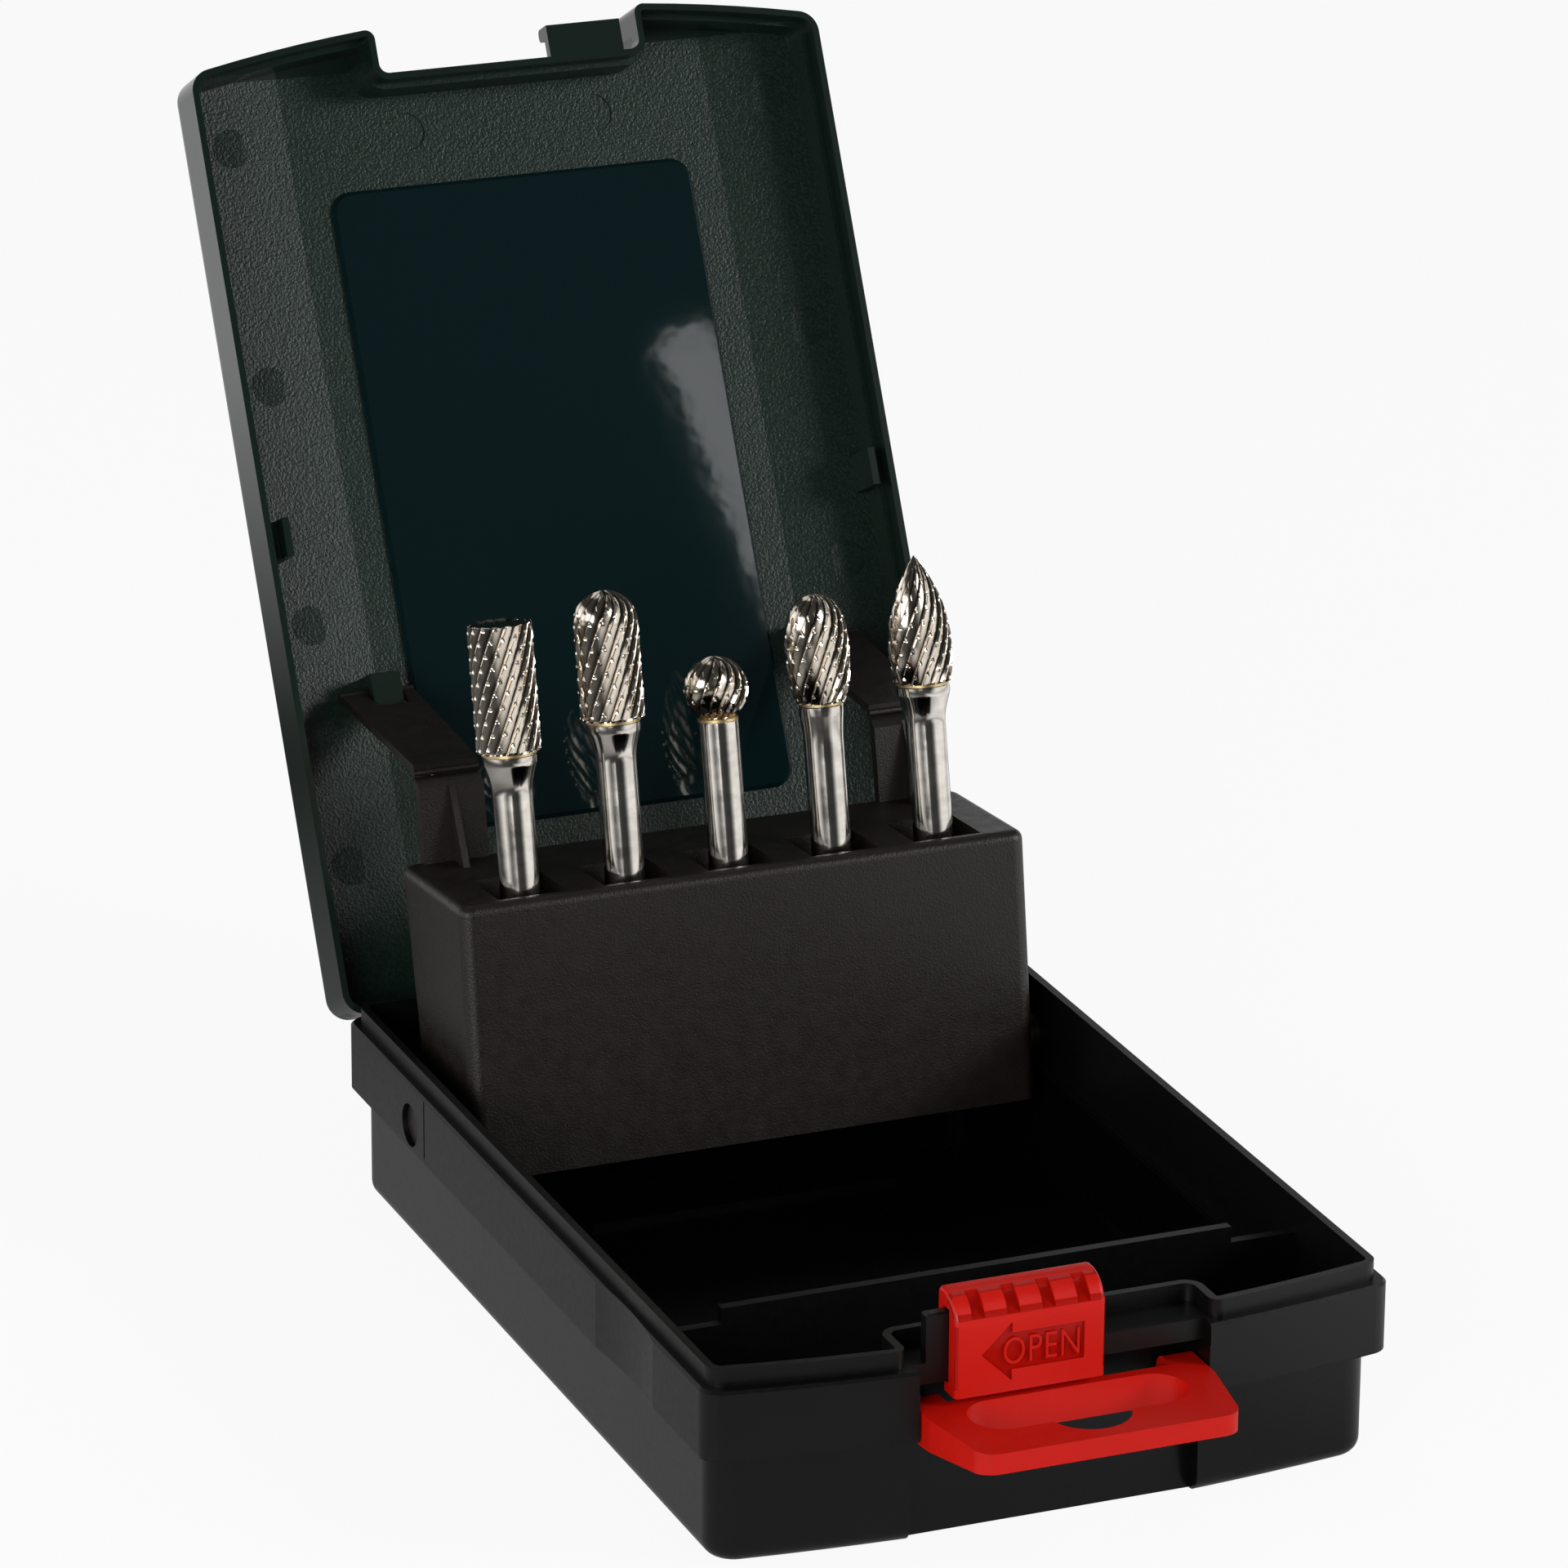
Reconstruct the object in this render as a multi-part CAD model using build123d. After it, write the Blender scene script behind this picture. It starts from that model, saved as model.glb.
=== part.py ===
from build123d import *
import math
import os

# A hinged plastic case for a set of five rotary burrs. Two straps join the lid to the burr block,
# so the block swings up as the lid opens. A sliding latch holds the lid, and a slotted hanger
# folds out below it. Everything is modelled in the open pose. Sizes are in millimetres, X points
# to the right, Y to the lid hinge and Z up, and the origin is the centre of the underside.

# Tray: plan shape, seen from above
case_width = 102.0
case_depth = 144.6
front_bow = 5.0
case_corner = 3.1
band_step = 1.9
lower_bow = 3.6
lower_corner = 4.6

# Tray: heights and walls
tray_height = 26.8
band_height = 10.26
band_edge_bevel = 0.4
foot_round = 2.4
floor_thick = 1.6
wall_thick = 1.8
ledge_drop = 9.9
cavity_floor_bevel = 0.9
lip_height = 2.6
lip_inset = 1.3
lip_rear_inset = 1.5
lip_front_inset = 1.7
lip_thick = 1.2

# Tray: bay for the latch in the front, with a shelf, a guide wall and a pocket for the hanger
bay_half = 21.6
bay_past_corner = 1.6
shelf_thick = 3.1
lip_bay_margin = 1.0
lip_bay_back = 6.3
lip_bay_round = 1.5
pocket_side_gap = 0.1
pocket_back = 5.3
pocket_drop = 12.4
panel_back = 3.2
bay_wall = 1.7
guide_left = -19.7
guide_right = 6.2
guide_thick = 1.8
guide_height = 7.1
guide_bevel = 0.3

# Tray: partition, floor rib, finger dips and the parting slit beside the pivot
partition_from_front = 26.1
partition_thick = 1.5
partition_drop = 2.4
partition_shoulder = 12.5
rib_ahead_of_pivot = 4.65
rib_half = 24.4
rib_width = 1.0
rib_height = 0.8
dip_behind_partition = 4.0
dip_length = 21.7
dip_depth = 0.6
slit_ahead_of_pivot = 6.15
slit_width = 0.4
slit_depth = 0.5
slit_high = 0.4
slit_low = 9.4

# Lid
lid_open_angle = 117.3
parting_gap = 0.5
hinge_from_rear = 0.4
lid_rear_inset = 0.2
lid_front_inset = 0.4
lid_bow = 5.2
lid_corner = 3.4
lid_height = 11.3
lid_edge_round = 3.2
lid_wall = 1.9
lid_depth = 9.3
lid_bevel_width = 16.4
lid_bevel_drop = 1.3
rebate_depth = 2.9
rebate_wall = 1.0
lid_bay_side_gap = 0.3
lid_bay_left_extra = 0.3
lid_bay_back = 4.7
lid_bay_round = 1.5
panel_side_margin = 21.6
panel_near = 26.0
panel_front_margin = 18.7
panel_rise = 0.9
panel_corner = 3.4
panel_edge_bevel = 0.6

# Lid: catch tab and side lugs
tab_gap = 0.4
tab_width = 12.0
tab_reach = 4.9
tab_thick = 1.6
tab_lip_thick = 2.0
tab_lip_height = 3.9
tab_round = 0.8
lug_before_middle = 2.35
lug_length = 5.8
lug_lip_gap = 0.3
lug_thick = 1.1

# Lid: round marks left by the ejector pins
ejector_radius = 3.0
ejector_depth = 0.2
ejector_side_margin = 7.2
ejector_near = 22.8
ejector_front_margin = 10.3
ejector_side_count = 4
ejector_front_side = 15.35

# Hinge at the back: bars on the lid turn in hooks on the tray
hinge_from_side = 22.0
hook_length = 10.0
hook_radius = 2.5
hinge_bar_radius = 1.2
hinge_clearance = 0.05
hook_mouth = 2.1
hook_mouth_angle = 40.0
ear_thick = 1.6
ear_radius = 1.7
hinge_gap = 0.3

# Burr block, in its own frame: up along the burrs from the pivot, and back from the pivot
block_tilt = 12.0
pivot_ahead_of_hinge = 27.75
pivot_drop = 6.4
block_from_side = 6.35
block_low = -8.0
block_front_low = 9.9
block_front_high = 12.3
block_rear_low = 11.1
block_rear_high = 14.2
block_top_at_burrs = 33.87
block_top_slope = 7.0
block_side_round = 2.1
block_top_round = 1.5
block_wall = 2.2
block_top_thick = 5.5
stub_radius = 3.15
stub_clearance = 0.1
stub_from_side = 0.8
collar_radius = 4.3
collar_wall_gap = 0.4

# Burrs and their sockets
burr_pitch = 16.4
burr_forward = 4.83
shank_radius = 3.0
shank_length = 45.0
shank_chamfer = 0.4
socket_clearance = 0.08
socket_seat_gap = 0.1
socket_wall = 1.6
recess_width = 10.7
recess_depth_plan = 11.0
recess_depth = 3.0
collar_flare_radius = 4.0
collar_flare_height = 4.2
collar_flare_sag = 0.3
collar_band_height = 1.2
braze_thick = 0.4
head_radius = 4.8
tooth_depth = 0.45
tooth_count = 14
tooth_twist_per_mm = 5.6
tooth_depth_share = 0.3
tooth_lean = 0.3
tip_radius = 0.5
oval_widest = 0.48
oval_foot_stretch = 1.35
oval_fullness = 2.4
tree_widest = 0.22
tree_heel = 0.9
tree_fullness = 2.3

# Posts and straps that join the block to the lid
post_from_block_end = 3.25
post_width = 10.1
post_thick = 1.8
post_gap = 0.1
crease_up = 49.3
crease_back = 13.7
post_bevel = 1.5
channel_gap = 1.0
gusset_thick = 1.0
gusset_reach = 4.2
gusset_height = 12.5
strap_reach = 30.56
strap_angle = 2.85
strap_thick = 1.2
strap_above_crease = 0.05
strap_flare = 0.65
strap_end_extra = 0.1
crease_round = 0.5
bar_radius = 0.8
slot_length = 5.1
slot_side_gap = 0.4
hook_window_low = 12.0
hook_window_high = 26.0

# Hooks on the lid that hold the bars at the strap ends, as distances along and into the lid
lid_hook_half = 2.35
lid_hook_inward = 1.0
lid_hook_leg_near = 49.0
lid_hook_leg_thick = 1.6
lid_hook_tip_low = 2.4
lid_hook_tip_thick = 1.3
lid_hook_tip_reach = 4.2

# Sliding latch
slider_left = -16.4
slider_past_guide = -0.4
slider_front_past = 2.5
slider_back = 4.0
slider_gap = 0.15
slider_low = 4.9
slider_high = 9.7
slider_top_gap = 0.3
slider_nose_round = 4.6
slider_back_round = 1.2
slider_side_round = 0.7
slider_leg_low = 0.4
foot_high_gap = 0.35
foot_reach = 1.3
nose_reach = 1.8
nose_low = 2.5
nose_high = 6.0
nose_cam = 1.4
grip_count = 4
grip_pitch = 5.2
grip_width = 1.9
grip_depth = 0.9
grip_first = 3.4
grip_radius = 6.5
arrow_tip = 3.8
arrow_length = 15.2
arrow_head = 4.5
arrow_half = 4.3
arrow_shaft_half = 2.7
arrow_middle = 1.0
arrow_depth = 0.4

# Hanger
hanger_axis_back = 2.2
hanger_top_drop = 6.0
hanger_axis_drop = 8.3
knuckle_radius = 2.3
knuckle_length = 4.5
hanger_side_gap = 0.3
hanger_front_narrower = 2.2
hanger_rear_gap = 0.3
hanger_length = 18.0
hanger_corner = 3.0
hanger_thick = 3.0
spine_thick = 1.6
spine_height = 5.1
hang_slot_half = 16.0
hang_slot_width = 9.6
hang_slot_round = 4.6
hang_bump_radius = 6.0
hang_bump_reach = 4.4
hanger_pin_radius = 1.2
hanger_pin_reach = 1.9
hanger_pin_clearance = 0.06

# Places worked out from the sizes above
case_half = case_width / 2
case_rear = case_depth / 2
case_front = -case_depth / 2
band_low = tray_height - band_height
bay_front = case_depth / 2 + bay_past_corner
lip_bay_front = bay_front - lip_bay_back
pocket_half = bay_half - pocket_side_gap
pocket_front = bay_front - pocket_back
panel_front = bay_front - panel_back
partition_y = case_front + partition_from_front
partition_half = case_half - partition_shoulder
hinge_y = case_rear - hinge_from_rear
hinge_z = tray_height + parting_gap
hinge_side = case_half - hinge_from_side
lid_length = hinge_y - case_front - lid_front_inset
lid_bay_front = bay_front - lid_bay_back
panel_half = case_half - panel_side_margin
panel_far = lid_length - panel_front_margin
tab_left = guide_right + tab_gap
lug_outer = case_half - lip_inset - lip_thick - lug_lip_gap
pivot_y = hinge_y - pivot_ahead_of_hinge
pivot_z = tray_height - pivot_drop
block_half = case_half - block_from_side
stub_end = case_half - stub_from_side
collar_end = case_half - band_step - wall_thick - collar_wall_gap
post_outer = block_half - post_from_block_end
post_middle = post_outer - post_width / 2
lid_hook_x = post_middle - lid_hook_inward
hanger_axis_y = -bay_front + hanger_axis_back
hanger_axis_z = tray_height - hanger_axis_drop
slider_right = guide_right + slider_past_guide
slider_front = bay_front + slider_front_past
slider_rear = bay_front - slider_back
hanger_rear_half = pocket_half - hanger_side_gap
hanger_front_half = hanger_rear_half - hanger_front_narrower
hanger_rear = bay_front + hanger_rear_gap
hanger_front = hanger_rear + hanger_length
reach_past = 20.0
touch = 0.01


def prism(plan, low, high):
    """Raise a plan shape from one height to another."""
    return extrude(Pos(0, 0, low) * plan, high - low, dir=(0, 0, 1))


def slab(left, right, near, far, low, high):
    """Box between two places along each axis."""
    middle = Pos((left + right) / 2, (near + far) / 2, (low + high) / 2)
    return middle * Box(right - left, far - near, high - low)


def side_profile(points, left, right):
    """Carry an outline of (y, z) points along X."""
    return extrude(Plane.YZ.offset(left) * Polygon(*points, align=None), right - left, dir=(1, 0, 0))


def front_profile(points, front, rear):
    """Carry an outline of (x, z) points along Y, from the front to the rear."""
    return extrude(Plane.XZ.offset(-front) * Polygon(*points, align=None), rear - front, dir=(0, 1, 0))


def cross_rod(radius, left, right, y, z):
    """Round rod along X."""
    return Pos((left + right) / 2, y, z) * Rot(0, 90, 0) * Cylinder(radius, right - left)


def both_sides(piece):
    """A piece and its mirror image on the other side of the case."""
    return [piece, mirror(piece, about=Plane.YZ)]


def bowed_plan(half, rear, front, bow, corner):
    """Straight back and sides, a front edge that bows outward, and rounded corners."""
    edges = [
        Line((-half, rear), (half, rear)),
        Line((half, rear), (half, front)),
        ThreePointArc((half, front), (0, front - bow), (-half, front)),
        Line((-half, front), (-half, rear)),
    ]
    plan = make_face(edges)
    return fillet(plan.vertices(), corner)


def with_bay(plan, left, right, depth, corner):
    """Cut a bay with rounded corners into the front edge of a plan shape."""
    bay = Pos((left + right) / 2, -depth - reach_past / 2) * Rectangle(right - left, reach_past)
    cut = plan - bay
    corners = [
        v for v in cut.vertices() if min(abs(v.X - left), abs(v.X - right)) < touch and v.Y < -depth + touch
    ]
    return fillet(corners, corner)


def lip_plan():
    """Outer edge of the raised lip, which goes round behind the latch bay."""
    outer = bowed_plan(
        case_half - lip_inset,
        case_rear - lip_rear_inset,
        case_front + lip_front_inset,
        front_bow,
        case_corner - lip_inset / 2,
    )
    half = bay_half + lip_bay_margin
    return with_bay(outer, -half, half, lip_bay_front, lip_bay_round)


def make_tray_shell():
    """Lower walls, band and lip, hollowed, with the latch bay and the hanger pocket cut out."""
    lower = prism(
        bowed_plan(
            case_half - band_step,
            case_rear - band_step,
            case_front + band_step,
            lower_bow,
            lower_corner,
        ),
        0,
        band_low + touch,
    )
    lower = fillet(lower.faces().sort_by(Axis.Z)[0].edges(), foot_round)
    band = prism(bowed_plan(case_half, case_rear, case_front, front_bow, case_corner), band_low, tray_height)
    band = chamfer(band.faces().sort_by(Axis.Z)[-1].edges(), band_edge_bevel)
    bay_floor = tray_height - shelf_thick
    band -= slab(-bay_half, bay_half, case_front - reach_past, -bay_front, bay_floor, tray_height + touch)
    lip = prism(lip_plan(), tray_height - shelf_thick, tray_height + lip_height)
    shell = lower + band + lip

    ledge = tray_height - ledge_drop
    low_step = band_step + wall_thick
    low_plan = bowed_plan(
        case_half - low_step,
        case_rear - low_step,
        case_front + low_step,
        lower_bow,
        lower_corner - wall_thick,
    )
    bay_side = bay_half + lip_bay_margin + lip_thick
    low_plan = with_bay(low_plan, -bay_side, bay_side, pocket_front - bay_wall, lip_bay_round)
    low_cavity = prism(low_plan, floor_thick, ledge + touch)
    low_cavity = chamfer(low_cavity.faces().sort_by(Axis.Z)[0].edges(), cavity_floor_bevel)
    high_plan = offset(lip_plan(), -lip_thick)
    high_cavity = prism(high_plan, ledge, tray_height + lip_height + touch)
    shell = shell - low_cavity - high_cavity

    pocket = [
        (case_front - reach_past, bay_floor),
        (-pocket_front, bay_floor),
        (-pocket_front, tray_height - pocket_drop),
        (-panel_front, -touch),
        (case_front - reach_past, -touch),
    ]
    return shell - side_profile(pocket, -pocket_half, pocket_half)


def make_guide():
    """Wall on the front of the shelf that the latch straddles."""
    guide = slab(
        guide_left,
        guide_right,
        -bay_front,
        -bay_front + guide_thick,
        tray_height - shelf_thick,
        tray_height + guide_height,
    )
    return chamfer(guide.faces().sort_by(Axis.Z)[-1].edges(), guide_bevel)


def make_partition():
    """Cross wall with a raised middle, and the low rib on the floor."""
    inner_half = case_half - lip_inset - lip_thick + touch
    near = partition_y - partition_thick / 2
    far = partition_y + partition_thick / 2
    wall = slab(-inner_half, inner_half, near, far, floor_thick - touch, tray_height - partition_drop)
    raised = slab(-partition_half, partition_half, near, far, floor_thick, tray_height)
    rib = slab(
        -rib_half,
        rib_half,
        pivot_y - rib_ahead_of_pivot - rib_width / 2,
        pivot_y - rib_ahead_of_pivot + rib_width / 2,
        floor_thick - touch,
        floor_thick + rib_height,
    )
    return wall + raised + rib


def make_tray():
    """Whole tray with hinge hooks, pivot holes, finger dips and hanger pin holes."""
    tray = make_tray_shell() + make_guide() + make_partition()

    outer = hinge_side + hook_length / 2
    inner = hinge_side - hook_length / 2
    ear_room = hinge_gap + ear_thick + hinge_gap
    clear = cross_rod(ear_radius + hinge_gap, inner - ear_room, outer + ear_room, hinge_y, hinge_z)
    hook = cross_rod(hook_radius, inner, outer, hinge_y, hinge_z)
    bore = cross_rod(hinge_bar_radius + hinge_clearance, inner - touch, outer + touch, hinge_y, hinge_z)
    mouth = Pos(hinge_side, hinge_y, hinge_z) * Rot(hook_mouth_angle, 0, 0)
    mouth = mouth * Pos(0, hook_radius, 0) * Box(hook_length + 1, 2 * hook_radius, hook_mouth)
    for sign_clear, sign_hook, sign_bore, sign_mouth in zip(*map(both_sides, (clear, hook, bore, mouth))):
        tray = tray - sign_clear + sign_hook - sign_bore - sign_mouth

    pivot_hole = cross_rod(stub_radius + stub_clearance, collar_end, case_half + 1, pivot_y, pivot_z)
    dip_radius = (dip_length**2 / 4 + dip_depth**2) / (2 * dip_depth)
    dip_y = partition_y + dip_behind_partition
    dip = Pos(case_half + dip_radius - dip_depth, dip_y, tray_height - band_height / 2)
    dip = dip * Cylinder(dip_radius, band_height + 1)
    slit = slab(
        case_half - slit_depth,
        case_half + 1,
        pivot_y - slit_ahead_of_pivot - slit_width / 2,
        pivot_y - slit_ahead_of_pivot + slit_width / 2,
        tray_height - slit_low,
        tray_height - slit_high,
    )
    pin_hole = cross_rod(
        hanger_pin_radius + hanger_pin_clearance,
        pocket_half - touch,
        pocket_half + hanger_pin_reach,
        hanger_axis_y,
        hanger_axis_z,
    )
    for cut in (pivot_hole, dip, slit, pin_hole):
        for side in both_sides(cut):
            tray -= side
    return tray


def lid_point(along, depth):
    """Place on the closed lid, from the hinge towards the front and up into the lid."""
    return (hinge_y - along, hinge_z + depth)


def make_lid_shell():
    """Closed lid: rounded outside, bay at the front, hollow with bevelled sides and a rim rebate."""
    outline = bowed_plan(
        case_half,
        case_rear - lid_rear_inset,
        case_front + lid_front_inset,
        lid_bow,
        lid_corner,
    )
    shell = prism(outline, hinge_z, hinge_z + lid_height)
    shell = fillet(shell.faces().sort_by(Axis.Z)[-1].edges(), lid_edge_round)
    bay_right = bay_half - lid_bay_side_gap
    bay_left = -bay_right + lid_bay_left_extra
    plan = with_bay(outline, bay_left, bay_right, lid_bay_front, lid_bay_round)
    shell = shell & prism(plan, hinge_z, hinge_z + lid_height)

    inner_half = case_half - lid_wall
    side_depth = lid_depth - lid_bevel_drop
    section = [
        (-inner_half, -touch),
        (inner_half, -touch),
        (inner_half, side_depth),
        (case_half - lid_bevel_width, lid_depth),
        (lid_bevel_width - case_half, lid_depth),
        (-inner_half, side_depth),
    ]
    room = front_profile(section, -case_depth, case_depth)
    inside = prism(offset(plan, -lid_wall), hinge_z - touch, hinge_z + lid_height)
    hollow = Pos(0, 0, hinge_z) * room & inside
    rebate = prism(offset(plan, -rebate_wall), hinge_z - touch, hinge_z + rebate_depth)
    return shell - hollow - rebate


def make_lid_panel():
    """Smooth panel raised on the inside of the lid."""
    near = hinge_y - panel_far
    far = hinge_y - panel_near
    plan = Pos(0, (near + far) / 2) * RectangleRounded(2 * panel_half, far - near, panel_corner)
    panel = prism(plan, hinge_z + lid_depth - panel_rise, hinge_z + lid_depth + touch)
    return chamfer(panel.faces().sort_by(Axis.Z)[0].edges(), panel_edge_bevel)


def make_catch_tab():
    """Tab in the front bay: a plate with an upstanding edge that the latch nose sits behind."""
    front = lid_bay_front + tab_reach
    points = [
        (-lid_bay_front + touch, hinge_z),
        (-front, hinge_z),
        (-front, hinge_z + tab_lip_height),
        (-front + tab_lip_thick, hinge_z + tab_lip_height),
        (-front + tab_lip_thick, hinge_z + tab_thick),
        (-lid_bay_front + touch, hinge_z + tab_thick),
    ]
    tab = side_profile(points, tab_left, tab_left + tab_width)
    top = tab.edges().filter_by(Axis.X).group_by(Axis.Z)[-1]
    tab = fillet(top, tab_round)
    inner = -lid_bay_front + rebate_wall
    bridge = slab(tab_left, tab_left + tab_width, -lid_bay_front, inner, hinge_z, hinge_z + tab_thick)
    return tab + bridge


def make_strap_hook():
    """Hook on the inside of the lid, a leg and a tip that reach round the bar of a strap."""
    leg_far = lid_hook_leg_near + lid_hook_leg_thick
    tip_high = lid_hook_tip_low + lid_hook_tip_thick
    tip_end = lid_hook_leg_near - lid_hook_tip_reach
    points = [
        lid_point(tip_end, lid_hook_tip_low),
        lid_point(leg_far, lid_hook_tip_low),
        lid_point(leg_far, lid_depth + touch),
        lid_point(lid_hook_leg_near, lid_depth + touch),
        lid_point(lid_hook_leg_near, tip_high),
        lid_point(tip_end, tip_high),
    ]
    return side_profile(points, lid_hook_x - lid_hook_half, lid_hook_x + lid_hook_half)


def make_lid():
    """Lid in its open pose."""
    lid = make_lid_shell() + make_lid_panel() + make_catch_tab()
    for hook in both_sides(make_strap_hook()):
        lid += hook

    lug_far_y = hinge_y - lid_length / 2 + lug_before_middle
    lug_near_y = lug_far_y - lug_length
    lug_inner = lug_outer - lug_thick
    lug = slab(lug_inner, lug_outer, lug_near_y, lug_far_y, hinge_z, hinge_z + lid_depth)
    lug_root = slab(
        lug_inner,
        case_half - lid_wall + touch,
        lug_near_y,
        lug_far_y,
        hinge_z + rebate_depth + hinge_gap,
        hinge_z + lid_depth,
    )
    for side in both_sides(lug + lug_root):
        lid += side

    mark_low = hinge_z + lid_depth - lid_bevel_drop - 1
    mark_far = lid_length - ejector_front_margin
    mark_pitch = (mark_far - ejector_near) / (ejector_side_count - 1)
    mark_side = case_half - ejector_side_margin
    marks = [(mark_side, ejector_near + index * mark_pitch) for index in range(ejector_side_count)]
    marks += [(ejector_front_side, mark_far)]
    slope = lid_bevel_drop / (lid_bevel_width - lid_wall)
    for x, along in marks:
        depth = lid_depth - slope * max(0, x - case_half + lid_bevel_width) + ejector_depth
        mark = prism(Pos(x, hinge_y - along, 0) * Circle(ejector_radius), mark_low, hinge_z + depth)
        for side in both_sides(mark):
            lid -= side

    outer = hinge_side + hook_length / 2 + hinge_gap
    inner = hinge_side - hook_length / 2 - hinge_gap
    window = cross_rod(hook_radius + hinge_gap, inner, outer, hinge_y, hinge_z)
    bar = cross_rod(hinge_bar_radius, inner - ear_thick, outer + ear_thick, hinge_y, hinge_z)
    ears = cross_rod(ear_radius, inner - ear_thick, inner, hinge_y, hinge_z)
    ears += cross_rod(ear_radius, outer, outer + ear_thick, hinge_y, hinge_z)
    for side_window, side_bar, side_ears in zip(*map(both_sides, (window, bar, ears))):
        lid = lid - side_window + side_bar + side_ears
    return lid.rotate(Axis((0, hinge_y, hinge_z), (1, 0, 0)), -lid_open_angle)


def block_place():
    """Frame of the burr block: at the pivot, with Z along the burrs and Y to the back."""
    return Pos(0, pivot_y, pivot_z) * Rot(-block_tilt, 0, 0)


def block_top(back):
    """Height of the block's sloping top at a distance behind the pivot."""
    return block_top_at_burrs + (back + burr_forward) * math.tan(math.radians(block_top_slope))


def burr_places():
    """X places of the five burrs, from left to right."""
    return [(index - 2) * burr_pitch for index in range(5)]


def make_block_body():
    """Tapered block with a sloping top, hollow from below."""
    points = [
        (-block_front_low, block_low),
        (-block_front_high, block_top(-block_front_high)),
        (block_rear_high, block_top(block_rear_high)),
        (block_rear_low, block_low),
    ]
    body = side_profile(points, -block_half, block_half)
    middle = (block_low + block_top_at_burrs) / 2
    quarter = (block_top_at_burrs - block_low) / 4
    ends = [e for e in body.edges() if abs(abs(e.center().X) - block_half) < touch]
    upright = [e for e in ends if abs(e.center().Z - middle) < quarter]
    body = fillet(upright, block_side_round)
    body = fillet(body.faces().sort_by(Axis.Z)[-1].edges(), block_top_round)
    room = [
        (-block_front_low + block_wall, block_low - touch),
        (-block_front_high + block_wall, block_top(-block_front_high) - block_top_thick),
        (block_rear_high - block_wall, block_top(block_rear_high) - block_top_thick),
        (block_rear_low - block_wall, block_low - touch),
    ]
    return body - side_profile(room, -block_half + block_wall, block_half - block_wall)


def make_posts():
    """Post on the left, with a bevelled end at the crease and a gusset in front."""
    rear = crease_back - post_gap
    front = rear - post_thick
    points = [
        (front, block_top_at_burrs - block_top_round),
        (rear, block_top_at_burrs - block_top_round),
        (rear, crease_up - crease_round - post_gap),
        (front, crease_up - crease_round - post_gap - post_bevel),
    ]
    post = side_profile(points, -post_outer, post_width - post_outer)
    foot = block_top(front - gusset_reach) - touch
    gusset = [
        (front + touch, foot),
        (front + touch, foot + gusset_height),
        (front - gusset_reach, foot),
    ]
    return post + side_profile(gusset, -post_middle - gusset_thick / 2, -post_middle + gusset_thick / 2)


def make_block(burrs):
    """Burr block with its sockets, pivot stubs and posts, in its tilted pose."""
    block = make_block_body()
    tube_radius = shank_radius + socket_clearance + socket_wall
    tube_top = block_top_at_burrs - recess_depth
    for x, burr in zip(burr_places(), burrs):
        seat = block_top_at_burrs + burr["exposed"] - shank_length - socket_seat_gap
        tube = Pos(x, -burr_forward, 0) * Circle(tube_radius)
        block += prism(tube, seat - socket_wall, tube_top)
    for x, burr in zip(burr_places(), burrs):
        seat = block_top_at_burrs + burr["exposed"] - shank_length - socket_seat_gap
        bore = Pos(x, -burr_forward, 0) * Circle(shank_radius + socket_clearance)
        block -= prism(bore, seat, block_top_at_burrs + 1)
        recess = Pos(x, -burr_forward, 0) * Rectangle(recess_width, recess_depth_plan)
        block -= prism(recess, tube_top, block_top_at_burrs + recess_depth)
    channel = slab(
        post_outer - post_width - channel_gap,
        post_outer + channel_gap,
        crease_back - post_gap,
        crease_back + reach_past,
        block_low,
        crease_up,
    )
    for side in both_sides(channel):
        block -= side
    for post in both_sides(make_posts()):
        block += post
    window = slab(
        lid_hook_x - lid_hook_half - 2 * hinge_gap,
        lid_hook_x + lid_hook_half + 2 * hinge_gap,
        block_rear_low - block_wall - 1,
        block_rear_high + 1,
        hook_window_low,
        hook_window_high,
    )
    for side in both_sides(window):
        block -= side
    stub = cross_rod(stub_radius, block_half - 1, stub_end, 0, 0)
    collar = cross_rod(collar_radius, block_half - 1, collar_end, 0, 0)
    for side in both_sides(stub + collar):
        block += side
    return block_place() * block


def make_strap():
    """Left strap: a widening plate from the crease to a thicker bar, with a slot for the lid's hook.

    It lies along Y from the crease at the origin, all above the crease line, so that it can fold
    flat against the back of the post.
    """
    half = post_width / 2
    far_half = half + strap_flare
    bar_height = strap_above_crease + strap_thick / 2
    length = math.sqrt(strap_reach**2 - bar_height**2)
    plan = Polygon((-half, 0), (half, 0), (far_half, length), (-far_half, length), align=None)
    plate = prism(plan, strap_above_crease, strap_above_crease + strap_thick)
    slot_middle = lid_hook_inward
    slot_half = lid_hook_half + slot_side_gap
    slot_far = length - bar_radius
    slot_near = slot_far - slot_length
    plate -= slab(slot_middle - slot_half, slot_middle + slot_half, slot_near, slot_far, 0, 2 * strap_thick)
    root = cross_rod(crease_round, -half, half, 0, 0)
    bar_half = far_half + strap_end_extra
    bar = cross_rod(bar_radius, -bar_half, bar_half, length, bar_height)
    crease = block_place() * Pos(0, crease_back, crease_up)
    place = Pos(-post_middle, crease.position.Y, crease.position.Z)
    plate_angle = strap_angle - math.degrees(math.asin(bar_height / strap_reach))
    return place * Rot(plate_angle, 0, 0) * (plate + root + bar)


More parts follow.
